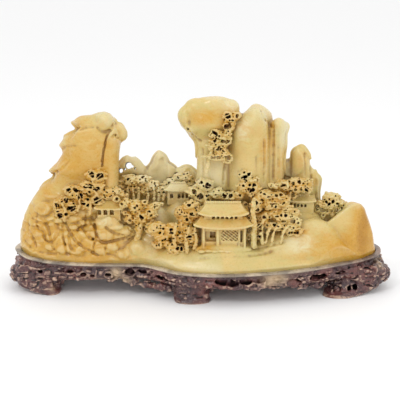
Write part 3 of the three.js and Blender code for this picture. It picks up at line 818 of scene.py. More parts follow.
def add_lip(field, plan, rim, z):
    """The polished rim: a ledge with an uneven round edge."""
    uneven = field.noise((14, 14, 30), 10)
    collar = np.abs(z - rim + 1.2) - 1.2 - 0.5 * uneven + 0.9
    edge = plan - LEDGE + 1.2 + 0.9 + 0.9 * uneven
    lip = np.sqrt(np.maximum(collar, 0) ** 2 + np.maximum(edge, 0) ** 2)
    lip = lip + np.minimum(np.maximum(collar, edge), 0) - 1.0
    field.d = soft_min(field.d, lip.astype(np.float32), 1.0)


def apron_lumps(field, dice):
    """Cloud-like bosses and scrolls round the apron."""
    ring = np.array(PLAN)
    along = np.roll(ring, -2, 0) - np.roll(ring, 2, 0)
    along = along / np.linalg.norm(along, axis=1)[:, None]
    for (x, y), (ahead, aside) in list(zip(ring, along))[::2]:
        spot, tangent, out = np.array([[x, y, 0], [ahead, aside, 0], [aside, -ahead, 0]])
        for z in BOSS_ROWS:
            size = dice.uniform(3.4, 5.2)
            place = spot + out * dice.uniform(2.5, 4.5) + tangent * dice.uniform(-2, 2)
            place[2] = z + dice.uniform(-1.5, 1.5)
            field.ellipsoid(place, (size * 1.4, size, size * 0.8), 0.7)
        place = spot + out * dice.uniform(6.3, 7.6)
        place[2] = dice.uniform(24, 31)
        scroll(field, place, tangent, np.array([0, 0, 1.0]), dice)


def foot_scrolls(field, dice):
    """Scrolls over the feet, the same before and behind."""
    for u0, v0, u1, v1, count in SCROLL_REGIONS:
        for _ in range(count):
            spot = field.hit(dice.uniform(u0, u1), dice.uniform(v0, v1))
            if spot is None or spot[2] < 3:
                continue
            for side in (1, -1):
                place = np.array([spot[0], spot[1] * side, spot[2]])
                scroll(field, place, np.array([1.0, 0, 0]), LIFT * (1, side, 1), dice)


def hang_bosses(field):
    """Bosses under the apron's edge, before and behind."""
    front = [corner for corner in PLAN if corner[1] <= 0]
    for u, v, wide, tall in HANGING:
        across = at_depth(u, v, 0)[0]
        near = min(front, key=lambda corner: abs(corner[0] - across))
        x, y, z = at_depth(u, v, near[1] - 2)
        for side in (1, -1):
            field.ellipsoid((x, y * side, z), (wide, BOSS_DEEP, tall), 3)


def scroll(field, place, tangent, up, dice):
    """A curl of raised stone on the surface."""
    size, start, sweep = dice.uniform(2.8, 5.5), dice.uniform(0, 2 * np.pi), dice.uniform(2.2, 4.6)
    turns = start + np.linspace(0, sweep, 9)
    radii = size * np.linspace(1, 0.45, 9)
    track = [place + (tangent * math.cos(t) + up * math.sin(t) * 0.8) * r for t, r in zip(turns, radii)]
    for a, b in zip(track[:-1], track[1:]):
        field.rod(a, b, 1.25, 1.1, 0.5)


# The trees: depth y in mm, then clumps of leaves as pixel and half sizes in pixels, with their own
# depth where it differs
GROVES = {
    "slope pines": (-16, [
        (96.4, 174.5, 10, 6, -15), (88.5, 186, 8.5, 6, -17), (98, 186, 6, 5, -17),
        (72.4, 190.5, 7.5, 5.5, -19), (80, 196, 6, 5), (62, 201.5, 7.5, 4.5), (72, 204, 7, 4.5),
        (62, 212, 7.5, 5, -20), (72, 209, 5, 5, -20), (85.4, 203, 6, 5.5), (97, 199, 6, 5)]),
    "left pavilion pines": (-14, [
        (102, 190.5, 7, 3.4), (112, 190.5, 8, 3.6), (120, 195, 6, 3), (108, 195.5, 9, 1.8)]),
    "back pines": (14, [
        (130.6, 179.6, 8.5, 4.5), (143, 179.6, 7, 4.5), (151, 185, 7, 4.5), (126.5, 190.5, 6, 3.6),
        (134.7, 188.5, 6, 4.5), (119.7, 183.7, 4, 3), (146, 190.6, 9, 2.2), (160, 190.5, 6, 3.2)]),
    "back pavilion": (22, [
        (182.7, 176.6, 9.5, 3.8), (172, 181, 6, 3.2), (188.5, 183.5, 4, 4.5), (165.5, 186, 3.5, 4),
        (201, 180, 5, 3.5)]),
    "orange trees": (-24, [
        (136, 205.6, 7.5, 5.5), (141.6, 216.6, 8, 6.5), (151.2, 211.5, 6, 7), (129.3, 217, 4, 5),
        (156.5, 205.6, 4.5, 3.5), (125, 203, 4, 4), (151, 224, 5, 3.5), (138, 226, 3, 5)]),
    "stream trees": (-40, [
        (191, 205.6, 8, 4.6, -28), (181.4, 212, 7, 4.6, -28), (192.3, 213, 8, 4.6, -30),
        (187, 219.5, 7, 4.6, -32), (156, 228, 8, 5.5), (162, 235, 8, 7), (171.8, 231, 7.5, 8),
        (178.6, 236, 6, 7), (189.6, 235.8, 8, 8), (184, 227.6, 7, 4.6, -36), (168, 242, 8, 4.5),
        (158, 244, 4.5, 3.5), (171, 248.5, 3.4, 5, -48)]),
    "by the eaves": (-16, [
        (204.7, 184.5, 8, 5.5), (195.5, 192, 7, 5), (203, 198, 7.5, 5.5), (212, 193, 6, 4)]),
    "behind roof": (-20, [
        (218, 193, 6, 4.6), (228, 196, 8.5, 3.6), (238, 194.5, 7, 4.4), (244.8, 186.5, 7.5, 6.5),
        (252, 188, 7.5, 8), (244.8, 174, 7.5, 4.6), (250, 179.6, 8, 3.6), (256, 197, 5, 5)]),
    "right of roof": (-32, [
        (265, 194.5, 8, 4.2, -26), (256.5, 205, 5, 7), (272.2, 204, 10.5, 5, -28),
        (283.2, 201, 6, 5.5, -26), (277, 195.5, 6, 3.4, -26), (264, 216.6, 6, 4.4), (273, 213, 6, 4),
        (282.5, 216.6, 9, 4.8), (294, 220.7, 6.5, 4.8), (275, 226, 9, 3.4, -38),
        (288.7, 228, 8, 3.4, -38), (299, 230.5, 4.5, 2.2, -38), (286, 209, 6, 4, -28),
        (295, 213, 5, 4, -28)]),
    "above right pavilion": (-4, [
        (284.6, 185, 8.5, 4.6), (297, 182, 9, 3.8), (307.5, 188, 5, 4.6), (275, 186.4, 6, 3.4),
        (286, 193.3, 6.5, 5), (277.7, 192, 5, 3.4), (309, 182, 3.5, 3), (298, 188, 10, 3.4, -9),
        (290, 189, 6, 3, -9)]),
    "column pines": (-18, [
        (229.5, 118, 5.6, 3.2, -18), (235.2, 115.4, 3.6, 2, -15), (227.7, 125, 3.6, 3.4, -19),
        (216, 133.6, 5.6, 3.4), (214.7, 140.5, 5.6, 3.2), (225, 140.5, 4.6, 3.6, -19),
        (219, 148, 5.6, 2.6), (212.6, 156, 8, 2), (226.5, 157, 3.6, 4.6, -22), (224, 150, 2.5, 4, -20),
        (221, 136, 5, 4.5), (212, 146, 4, 3), (220, 144, 6, 4.4), (228, 134, 3, 4, -20),
        (231.5, 121, 3, 4, -16), (221, 153, 6, 3, -18)]),
    "domed pine": (2, [
        (331, 198.5, 8.5, 6), (332.5, 203, 12.5, 4.6), (338, 206, 9, 2.4), (322.5, 204.4, 7.5, 3.6),
        (317.5, 207, 2.6, 3.2)]),
}

# Trunks: depth y, radius at the root and at the tip in mm, then pixels from the root up
TRUNKS = {
    "slope pines": [
        (-24, 2.2, 1.4, [(97, 200), (96, 190), (92, 180)]),
        (-26, 2, 1.3, [(78, 210), (80, 202), (76, 192)]),
        (-28, 2, 1.3, [(64, 220), (66, 212), (62, 204)])],
    "left pavilion pines": [
        (-22, 1.8, 1.2, [(90, 214), (91, 202), (96, 195)]),
        (-22, 1.8, 1.2, [(122, 212), (121, 203), (114, 196)])],
    "back pines": [(4, 1.5, 1.1, [(u, 200), (u + 0.4, 194), (u - 0.3, 188)])
                   for u in (122.5, 127.5, 133, 138.5, 147.5, 154, 158.5, 163.5)],
    "back pavilion": [
        (12, 1.6, 1.2, [(166, 196), (168, 188)]), (12, 1.6, 1.2, [(192, 200), (191, 188)])],
    "orange trees": [
        (-31, 3.0, 1.8, [(137, 240), (140, 231), (141, 222), (139, 212)]),
        (-29, 2.0, 1.4, [(148, 230), (151, 222), (152, 212)]),
        (-29, 2.0, 1.4, [(141, 226), (134, 220), (129, 214)])],
    "stream trees": [
        (-48, 2.6, 1.6, [(160, 247), (161, 240), (163, 231)]),
        (-52, 2.8, 1.8, [(176, 252), (174, 238), (176, 224)]),
        (-52, 2.4, 1.6, [(187, 251), (186, 240), (189, 228)]),
        (-50, 2.2, 1.4, [(194, 248), (196, 240), (195, 228)])],
    "by the eaves": [
        (-28, 1.8, 1.3, [(205, 206), (206, 196)])],
    "behind roof": [
        (-50, 3.2, 2.4, [(254, 246), (253.6, 236), (254.4, 225), (253, 212), (254, 200)])],
    "right of roof": [
        (-48, 2.2, 1.5, [(262, 243), (261, 228), (266, 214)]),
        (-48, 1.6, 1.1, [(272, 242), (274, 232), (280, 224)]),
        (-48, 1.6, 1.1, [(281, 243), (283, 233), (288, 226)]),
        (-48, 1.4, 1.1, [(266, 242), (268, 232), (272, 226)])],
    "column pines": [
        (-20, 2.2, 1.6, [(206, 172), (209, 160), (212, 148)]),
        (-20, 1.8, 1.2, [(212, 148), (222, 140), (230, 128)])],
    "above right pavilion": [
        (-16, 2, 1.3, [(288, 204), (290, 194), (292, 186)])],
    "domed pine": [
        (-4, 2.4, 1.6, [(323, 218), (325, 206), (327, 198)]), (-4, 1.8, 1.3, [(333, 216), (332, 206)])],
}

# Drilled holes in each grove: photograph pixel and radius in pixels
HOLES = {
    "slope pines": [
        (92, 174.5, 2.7), (99, 176, 3.3), (91, 181.5, 0.9), (86, 186.5, 2.2), (89.5, 186.5, 2.2),
        (97.5, 190, 2.7), (89.5, 192, 1.1), (69, 190, 2.4), (75.5, 190, 2.2), (72, 195, 0.9),
        (80, 196, 2.4), (66, 200.5, 2.2), (61.5, 201.5, 1.0), (57, 205, 2.2), (58, 211.5, 0.9),
        (82.5, 203, 2.4), (87.5, 199.5, 1.5), (88, 205.5, 1.5), (73.5, 203.5, 1.0), (71, 209, 3.3),
        (60.5, 215.5, 2.8), (66, 214, 1.7), (96.5, 199.5, 3.7)],
    "left pavilion pines": [
        (99.5, 196.5, 0.8), (104, 195, 0.7), (111.5, 195.5, 0.8), (117, 199, 1.5), (121.5, 203.5, 1.2),
        (107, 192.5, 0.7), (115, 193, 0.7), (119, 191, 0.8), (101, 192, 0.7)],
    "back pines": [
        (128, 179, 1.4), (130, 181, 0.7), (132, 183, 0.7), (134.5, 186.5, 0.9), (124.5, 181.5, 0.7),
        (119, 183.5, 1.4), (125, 187.5, 0.8), (129, 190, 1.0), (125.5, 192.5, 1.7), (135.5, 190, 1.3),
        (142.5, 177, 1.3), (140, 179.5, 0.9), (145.5, 179, 0.9), (140, 183, 0.8), (144.5, 188.5, 0.9),
        (151.5, 188, 0.8), (151.5, 182.5, 0.8), (154.5, 184, 1.0), (155.5, 190, 0.7), (162, 189.5, 1.0),
        (159, 192.5, 1.0), (163.5, 192.5, 1.2), (145.5, 192, 0.7), (147, 192, 0.7), (148.5, 192, 0.7),
        (150, 192, 0.7), (151.5, 192, 0.7)],
    "back pavilion": [
        (166.5, 185, 1.3), (170, 183.5, 1.6), (174.5, 182, 0.8), (177.5, 182.5, 0.8), (180.5, 183, 1.0),
        (185, 185.5, 1.7), (187.5, 193, 1.4), (187, 197.5, 0.8), (177.5, 177, 0.8), (187.5, 173.5, 0.8),
        (195.5, 191, 1.6), (193.5, 195.5, 0.8), (200, 197, 2.5), (201.5, 182.5, 0.9), (203.5, 186.5, 1.0),
        (196.5, 188.5, 0.7), (193.5, 188.5, 0.7), (200.5, 192, 0.7)],
    "orange trees": [
        (135, 208, 1.3), (137, 206, 1.2), (145, 202, 1.3), (122, 204, 1.1), (116.5, 199.5, 1.8),
        (125.5, 213, 0.8), (135, 212.5, 0.7), (154.5, 206.5, 0.7), (157, 206, 0.8), (149.5, 211.5, 1.3),
        (151, 215.5, 1.2), (142, 218, 2.2), (140.5, 216, 1.2), (129.5, 220.5, 1.0), (130.5, 220.5, 1.0),
        (153, 223, 0.8), (154.5, 223, 0.8), (145.5, 229, 0.7), (147, 229, 0.7), (148, 229, 0.7),
        (149.5, 229, 0.7)],
    "stream trees": [
        (189, 205.5, 1.7), (195.5, 207.5, 0.9), (196.5, 207.5, 0.9), (196.5, 210.5, 0.8),
        (179.5, 210, 0.8), (182, 212, 0.9), (177.5, 212.5, 0.8), (187, 213, 0.7), (191.5, 214, 1.6),
        (197, 214.5, 1.0), (184, 216.5, 0.7), (185.5, 216.5, 0.7), (187, 220, 1.6), (181.5, 221, 0.7),
        (190, 223.5, 0.7), (183, 225, 0.8), (189.5, 226.5, 0.7), (157, 228, 0.8), (153.5, 230.5, 0.7),
        (163.5, 229, 1.2), (160, 233, 1.3), (163.5, 234, 0.8), (171, 229.5, 1.6), (172, 233, 1.3),
        (179.5, 232, 1.2), (177.5, 235.5, 0.9), (180, 238.5, 0.8), (170.5, 240, 2.1), (172, 244, 0.7),
        (168, 245, 0.7), (162.5, 240.5, 0.7), (189, 237.5, 2.3), (191, 243.5, 0.8), (156.5, 245.5, 0.9),
        (159, 245.5, 0.9), (177.5, 249, 1.7), (181.5, 249, 1.7)],
    "by the eaves": [
        (201.5, 182, 1.5), (207.5, 186, 3.1), (203.5, 186, 1.0), (194.5, 191.5, 2.4), (199.5, 197, 3.1),
        (207, 196, 1.2), (216, 193, 2.4), (219.5, 190.5, 1.0), (208, 201.5, 2.2), (210, 204.5, 1.7)],
    "behind roof": [
        (244.5, 177.5, 2.5), (244.5, 172.5, 1.1), (248.5, 174, 1.7), (254, 184.5, 1.7), (250, 185, 1.3),
        (250, 190, 2.2), (253.5, 190, 2.0), (243.5, 185.5, 1.3), (240, 185, 0.7), (224.5, 196, 2.0),
        (230.5, 195.5, 2.0), (240, 195.5, 1.2), (256.5, 203, 2.9), (258.5, 209, 2.2), (245.5, 205.5, 2.0),
        (248, 209.5, 1.8)],
    "right of roof": [
        (264.5, 194, 1.3), (271, 185.5, 1.2), (276, 185.5, 0.8), (282, 185.5, 1.9), (285, 185.5, 1.9),
        (281, 194.5, 1.6), (276.5, 195.5, 1.4), (268.5, 197, 1.1), (256.5, 203, 1.9), (258, 209.5, 1.6),
        (271, 204, 0.7), (272.5, 204, 0.7), (273.5, 204, 0.7), (274.5, 204, 0.7), (276, 204, 0.7),
        (272, 206, 0.9), (276, 207, 1.3), (284, 203, 1.0), (264.5, 217, 1.9), (269.5, 217, 0.8),
        (277.5, 216.5, 1.1), (281, 215.5, 1.3), (285.5, 216, 1.6), (282.5, 221.5, 1.1),
        (284.5, 221.5, 1.1), (293.5, 220.5, 2.5), (298, 223, 1.2), (274.5, 225.5, 1.7),
        (267.5, 225.5, 1.1), (282.5, 228.5, 1.1), (293.5, 228, 1.0), (248.5, 237, 1.1), (260.5, 237, 1.5),
        (260, 226, 2.4), (261, 231, 1.5), (248.5, 218, 1.3), (248.8, 232, 1.4), (258.5, 236, 1.1),
        (289.5, 233, 1.2), (292, 233, 1.2), (295, 233, 1.2), (297.5, 233, 1.2)],
    "above right pavilion": [
        (293, 183.5, 1.7), (299.5, 182, 1.7), (284, 185, 1.9), (281.5, 186.5, 1.1), (301, 189.5, 1.3),
        (295.5, 190, 1.4), (288.5, 187.5, 1.1), (303.5, 183.5, 1.0), (305, 181.5, 0.7),
        (307.5, 189.5, 2.3), (293.5, 195, 2.3), (290, 191, 0.9), (286, 195.5, 1.2), (285, 198.5, 0.8)],
    "column pines": [
        (215.5, 134, 2.7), (210.5, 135, 0.7), (215, 141, 1.5), (223.5, 141.5, 1.7), (228, 141.5, 1.7),
        (219.5, 149, 2.2), (227.5, 116.5, 2.7), (228, 126.5, 3.1), (237, 116, 1.7), (232, 120.5, 1.0),
        (227.5, 158.5, 3.0), (212, 157.5, 1.3), (214.5, 157.5, 1.3), (217.5, 157.5, 1.3),
        (220, 157.5, 1.3), (219.5, 136, 1.0)],
    "domed pine": [
        (326.5, 201.5, 1.3), (329.5, 199, 0.9), (333, 201.5, 1.7), (329, 204.5, 1.1), (337, 203.5, 1.1),
        (339, 206, 0.9), (343.5, 205.5, 0.8), (317.5, 206, 1.7), (316.5, 209.5, 1.1), (321.5, 209.8, 1.8),
        (324.5, 210.2, 1.6), (327, 211, 1.3), (331.5, 210.8, 1.3), (336.5, 210.6, 1.9), (341, 209.6, 1.9),
        (323, 215, 1.1)],
}

# Holes that go right through the hill behind the left peak: pixel and radius in mm
PIERCINGS = [
    (120.6, 170.5, 2.8), (128.4, 165.4, 4.0), (124.6, 169, 1.5), (132.4, 166.4, 1.6), (135, 168.5, 1.2),
]

HOLE_DEEP, SPECK_DEEP = 14, 8
# Drilled holes and clumps are a little wider than drawn, and each clump has so many extra small holes
HOLE_GROWTH = 1.08
CLUMP_GROWTH = 1.06
SPECKS = 4
# A hole is four overlapping bores: how far from its middle, and how wide, as shares of its radius
BORES = ((0, 0.8), (0.62, 0.6), (0.62, 0.6), (0.62, 0.5))
# A hole wider than this keeps a twig across it
TWIG_FROM = 2.6
LEAF_BLEND, TRUNK_BLEND = 2.6, 1.2
# Groves carved on a smooth face, which is not hollowed behind them
ON_THE_FACE = ("column pines", "left pavilion pines")


def field_round(things, margin, voxel):
    low = np.min([np.array(c) - r for c, r in things], 0) - margin
    high = np.max([np.array(c) + r for c, r in things], 0) + margin
    return Field(tuple(low), tuple(high), voxel)


def clumps_of(name):
    """Centre and half sizes in mm of each clump of leaves."""
    depth, clumps = GROVES[name]
    found = []
    for u, v, wide, tall, *own in clumps:
        deep = 1.5 + 0.5 * (wide + tall) * PIXEL
        size = np.array((wide * PIXEL * CLUMP_GROWTH, deep, tall * PIXEL * CLUMP_GROWTH))
        found.append((at_depth(u, v, own[0] if own else depth), size))
    return found


def leaf_depth(clumps, spot):
    """Depth y of the front of the leaves beside a place."""
    near = np.array([np.sum(((centre - spot) / (1, 1e3, 1)) ** 2) for centre, size in clumps]) + 4
    share = near ** -2.0
    return float(np.sum(share * [centre[1] - 0.55 * size[1] for centre, size in clumps]) / share.sum())


def walls_of_holes(name, clumps, dice):
    """Leaves round each drilled hole, so that it always has a wall."""
    walls = []
    for u, v, radius in HOLES[name]:
        spot = at_depth(u, v, GROVES[name][0])
        spot = at_depth(u, v, leaf_depth(clumps, spot) + 2.5)
        around = radius * PIXEL * HOLE_GROWTH + dice.uniform(1.3, 2.6, 3)
        around[1] = 4.5
        walls.append((spot + dice.uniform(-0.7, 0.7, 3), around))
    return walls


def trunks_of(name):
    """The middle line of each trunk, and its radius along it."""
    found = []
    for y, start, end, line in TRUNKS.get(name, []):
        spots = [at_depth(u, v, y) for u, v in smooth_curve(line, 5)]
        found.append((spots, np.linspace(start, end, len(spots))))
    return found


def add_leaves(field, centre, size, dice):
    """Small flat leaves on the front and sides of a clump."""
    for _ in range(int(0.22 * size[0] * size[2]) + 8):
        out = dice.normal(size=3)
        out = out / np.linalg.norm(out)
        if out[1] > 0.4:
            continue
        wide, tall = dice.uniform(1.8, 3.6), dice.uniform(0.9, 1.6)
        field.ellipsoid(centre + out * size, (wide, wide * 0.8, tall), 0.3)


def make_grove(name, seed, voxel):
    dice = np.random.default_rng(seed)
    clumps, trunks = clumps_of(name), trunks_of(name)
    masses = clumps + walls_of_holes(name, clumps, dice)
    bark = [(spot, np.full(3, radii[0])) for spots, radii in trunks for spot in spots]
    field = field_round(masses + bark, 4, voxel)
    for centre, size in masses:
        field.ellipsoid(centre, size, LEAF_BLEND)
    for centre, size in clumps:
        add_leaves(field, centre, size, dice)
    for spots, radii in trunks:
        for a, b, ra, rb in zip(spots[:-1], spots[1:], radii[:-1], radii[1:]):
            field.rod(a, b, ra, rb, TRUNK_BLEND)
    field.d += field.noise(5, seed) * 0.7 + field.noise((3.2, 3.2, 1.6), seed + 50) * 0.5
    field.d += field.creases((3.4, 3.4, 2.4), seed + 70, 2.2) * 0.8 - 0.3
    return field


def tilted(angle):
    """A direction across the camera's view, turned from level."""
    return np.array([math.cos(angle), 0, 0]) + LIFT * math.sin(angle)


def drill(grove, rock, hull, u, v, radius, dice):
    """An uneven hole along the line of a pixel, with a twig left across a wide one."""
    spot = hull.hit(u, v)
    if spot is None:
        return
    for away, share in BORES:
        start = spot + tilted(dice.uniform(0, 2 * np.pi)) * radius * away
        for field in (grove, rock):
            field.rod(start - LOOK * 3, start + LOOK * HOLE_DEEP, radius * share, radius * share * 0.75,
                      0.2, cut=True)
    if radius > TWIG_FROM:
        tilt = dice.uniform(0, np.pi)
        beside = tilted(tilt + np.pi / 2) * radius * dice.uniform(-0.5, 0.5)
        middle = spot + beside + LOOK * dice.uniform(1.0, 2.5)
        reach = tilted(tilt) * (radius + 2)
        grove.rod(middle - reach, middle + reach, 0.7, 0.6, 0.4)


def specks(name, grove, rock, hull, dice):
    """Small holes between the leaves of each clump."""
    for centre, size in clumps_of(name):
        for _ in range(SPECKS):
            angle, away = dice.uniform(0, 2 * np.pi), math.sqrt(dice.uniform(0.05, 0.95))
            aim = centre + np.array((size[0] * math.cos(angle), 0, size[2] * math.sin(angle))) * away
            spot = hull.hit(*pixels_of(*aim))
            if spot is None:
                continue
            radius = dice.uniform(0.6, 1.15)
            for field in (grove, rock):
                field.rod(spot - LOOK * 3, spot + LOOK * SPECK_DEEP, radius, radius * 0.8, 0.2, cut=True)


def drill_groves(groves, rock, rock_whole):
    dice = np.random.default_rng(5)
    for name, grove in groves.items():
        hull = grove.copy()
        for u, v, radius in HOLES[name]:
            surface = hull if hull.hit(u, v) is not None else rock_whole
            drill(grove, rock, surface, u, v, radius * PIXEL * HOLE_GROWTH, dice)
        specks(name, grove, rock, hull, dice)


def hollow_behind(rock):
    """Room in the rock behind the leaves, so that a drilled hole ends in the dark."""
    for name in GROVES:
        if name in ON_THE_FACE:
            continue
        for centre, size in clumps_of(name):
            rock.ellipsoid(centre + (0, 0.8 * size[1] + 2, -1), size * (0.92, 1.1, 0.92), 1, cut=True)


def pierce(rock, rock_whole):
    for u, v, radius in PIERCINGS:
        spot = rock_whole.hit(u, v)
        if spot is not None:
            rock.rod(spot - LOOK * 5, spot + LOOK * 60, radius, radius, 0.4, cut=True)


# The pavilions, in mm. at: the middle of the wall's foot. wall: its width, depth and height.
# upper: width and depth of the upper wall, then its bottom and top. bays: windows as x from and to, z from
# and to. roofs: height of the eave, half sizes, half length of the ridge, rise, and lift of the corners
PAVILIONS = {
    "main": dict(
        at=(27, -38, 67), wall=(50, 26, 21), upper=((44, 20), 90, 104), bays=[],
        roofs=[(89.2, (34.5, 20), 20, 18, 5), (102, (29.5, 15), 19.6, 12, 5)]),
    "left": dict(
        at=(-107, -14, 90), wall=(27, 18, 12), upper=None, roofs=[(102.2, (17.5, 13), 9.5, 9.5, 2.5)],
        bays=[(-120.5, -116, 93.5, 101), (-113.5, -109, 93.5, 101), (-106, -101.5, 93.5, 101)]),
    "back": dict(
        at=(-26, 12, 102), wall=(26, 18, 14), upper=None, roofs=[(117.2, (17, 12), 8, 6, 1.5)],
        bays=[(-36, -32, 106, 112), (-26.5, -23.2, 106, 112), (-22, -18.8, 106, 112),
              (-17, -13.8, 106, 112)]),
    "right": dict(
        at=(122.5, 2, 94), wall=(26, 20, 11), upper=None, roofs=[(106.7, (15.5, 13), 8.5, 3.5, 1.5)],
        bays=[(111, 114, 98, 103), (115.2, 117.6, 98.5, 102.5), (119.6, 122, 98.5, 102),
              (124, 126.4, 98.5, 102)]),
}
# The large pavilion's front. Posts: x and radius. Openings: x from and to, z from and to, how far before
# the wall and into it, and how round. Then the lattice window, the row of small openings and the steps
POSTS = ((4.4, 1.3), (20.6, 2.0), (45.2, 0.9), (51.6, 1.6))
OPENINGS = (
    (6, 18.4, 70, 82.5, 4, 6, 0.5), (11.8, 17.6, 72.5, 81, 0, 13, 0.5), (46.8, 49.2, 69.5, 83.8, 3, 8, 0.4),
)
LATTICE = (24.6, 43.8, 71, 83.6)
SMALL_OPENINGS, SMALL_HALF = (15.5, 44, 5.2), 1.6
STEP_STONES = (2, 34, 7.5)
TILE_STEP = 2.6
ROOF_THICK = 2.4


def roof_shape(cx, cy, eave, half, ridge, rise, lift):
    a, b = half

    def shape(x, y, z):
        px, py = np.abs(x - cx), np.abs(y - cy)
        slope = np.maximum(np.clip((px - ridge) / (a - ridge), 0, 1), np.clip(py / b, 0, 1))
        corner = lift * np.clip(px / a, 0, 1) ** 3 * np.clip(py / b, 0, 1) ** 1.5
        top = eave + rise * (1 - slope) ** 1.3 + corner
        side = np.maximum(px - a, py - b)
        under = eave + corner - ROOF_THICK + 1.2 * (1 - slope)
        return np.maximum(side, np.maximum((z - top) * 0.75, under - z))

    return shape


def make_pavilion(name, voxel):
    plan = PAVILIONS[name]
    cx, cy, foot = plan["at"]
    wide, deep, tall = plan["wall"]
    a, b = plan["roofs"][0][1]
    head = max(eave + rise for eave, _, _, rise, _ in plan["roofs"]) + 5
    field = Field((cx - a - 4, cy - b - 4, foot - 8), (cx + a + 4, cy + b + 4, head), voxel)
    front = cy - deep / 2
    field.box((cx - wide / 2, front, foot - 4), (cx + wide / 2, cy + deep / 2, foot + tall), 0.8, 0.5)
    if plan["upper"]:
        (wide, deep), low, high = plan["upper"]
        field.box((cx - wide / 2, cy - deep / 2, low), (cx + wide / 2, cy + deep / 2, high), 0.5, 0.5)
    for roof in plan["roofs"]:
        eave, (a, b), ridge, rise, lift = roof
        field.change((cx - a, cy - b, eave - 4), (cx + a, cy + b, eave + rise + lift + 2), 3,
                     roof_shape(cx, cy, *roof), 0.8)
        for step in np.arange(-ridge, ridge + 0.1, TILE_STEP):
            field.ellipsoid((cx + step, cy, eave + rise), (1.5, 1.8, 1.7), 0.4)
    for x0, x1, z0, z1 in plan["bays"]:
        for y in (front, 2 * cy - front):
            field.box((x0, y - 8, z0), (x1, y + 8, z1), 0.6, 0.4, cut=True)
    if name == "main":
        main_front(field, front)
    field.d += field.noise(7, 90) * 0.25
    return field


def main_front(field, front):
    """The carved front of the large pavilion: steps, posts, lattice window and openings."""
    field.ellipsoid((27, front + 2, 60), (33, 9, 7.5), 2)
    for k, x in enumerate(np.arange(*STEP_STONES)):
        field.ellipsoid((x, front - 5, 60.5 + 0.7 * (k % 2)), (4.6, 4, 2.2), 1)
    for x, radius in POSTS:
        field.rod((x, front - 1.2, 62), (x, front - 1.2, 88), radius, radius, 0.5)
    for x0, x1, z0, z1, before, into, round_by in OPENINGS:
        field.box((x0, front - before, z0), (x1, front + into, z1), round_by, 0.3, cut=True)
    x0, x1, z0, z1 = LATTICE
    low, high = (x0, front - 3, z0), (x1, front + 2.4, z1)

    def lattice(x, y, z):
        box = to_box(x, y, z, low, high, 0.4)
        bars = np.minimum(np.abs((x * 0.8 + z) % 3.6 - 1.8), np.abs((x - z) % 7.2 - 3.6) + 0.2) - 0.62
        return np.maximum(box, -bars)

    field.change(low, high, 2, lattice, 0, cut=True)
    for x in np.arange(*SMALL_OPENINGS):
        field.box((x - SMALL_HALF, front - 2, 96.8), (x + SMALL_HALF, front + 9, 101), 0.3, 0.2, cut=True)


# Materials
def new_material(name):
    material = bpy.data.materials.new(name)
    material.use_nodes = True
    nodes = material.node_tree.nodes
    return material, nodes, material.node_tree.links, nodes["Principled BSDF"]


class Wiring:
    """Short names for the node kinds that the stones use."""

    def __init__(self, nodes, links):
        self.nodes, self.links = nodes, links
        self.place = nodes.new("ShaderNodeTexCoord").outputs["Object"]

    def put(self, value, socket):
        if isinstance(value, bpy.types.NodeSocket):
            self.links.new(value, socket)
        else:
            socket.default_value = value

    def attribute(self, name):
        node = self.nodes.new("ShaderNodeAttribute")
        node.attribute_name = name
        return node.outputs["Fac"]

    def noise(self, scale, detail=4.0, rough=0.55, twist=0.0, stretch=(1, 1, 1)):
        mapping = self.nodes.new("ShaderNodeMapping")
        mapping.inputs["Scale"].default_value = stretch
        self.links.new(self.place, mapping.inputs["Vector"])
        node = self.nodes.new("ShaderNodeTexNoise")
        node.inputs["Scale"].default_value = scale
        node.inputs["Detail"].default_value = detail
        node.inputs["Roughness"].default_value = rough
        node.inputs["Distortion"].default_value = twist
        self.links.new(mapping.outputs["Vector"], node.inputs["Vector"])
        return node.outputs["Fac"]

    def math(self, kind, a, b=0.0, clamp=False):
        node = self.nodes.new("ShaderNodeMath")
        node.operation = kind
        node.use_clamp = clamp
        self.put(a, node.inputs[0])
        self.put(b, node.inputs[1])
        return node.outputs[0]

    def ramp(self, value, low, high, to_low=0.0, to_high=1.0):
        node = self.nodes.new("ShaderNodeMapRange")
        node.interpolation_type = "SMOOTHSTEP"
        self.put(value, node.inputs["Value"])
        for key, number in zip(("From Min", "From Max", "To Min", "To Max"), (low, high, to_low, to_high)):
            node.inputs[key].default_value = number
        return node.outputs["Result"]

    def blend(self, share, a, b, kind="MIX"):
        node = self.nodes.new("ShaderNodeMix")
        node.data_type = "RGBA"
        node.blend_type = kind
        self.put(share, node.inputs["Factor"])
        self.put(a, node.inputs[6])
        self.put(b, node.inputs[7])
        return node.outputs[2]

    def bump(self, height, strength, distance):
        node = self.nodes.new("ShaderNodeBump")
        node.inputs["Strength"].default_value = strength
        node.inputs["Distance"].default_value = distance
        self.links.new(height, node.inputs["Height"])
        return node.outputs["Normal"]


LEAF_WARMTH = 0.2
CREAM = (0.68, 0.50, 0.185, 1)
OCHRE_COLOUR = (0.60, 0.31, 0.025, 1)
# Partly the stone's darker honey-brown, partly painted shade on faces turned from the light
DEEP_OCHRE_AND_SHADE = (0.44, 0.2, 0.012, 1)
# Pale stone, also used for painted highlights
PALE_COLOUR = (0.74, 0.65, 0.38, 1)
GREEN_COLOUR = (0.59, 0.485, 0.18, 1)
# Painted shade: the dark brown, nearly black, of the walls of drilled holes and hollows
HOLE_SHADE_COLOUR = (0.09, 0.032, 0.009, 1)
# Painted shade for the crevices and hollows of the stone
CREVICE_SHADE_COLOUR = (0.26, 0.115, 0.03, 1)


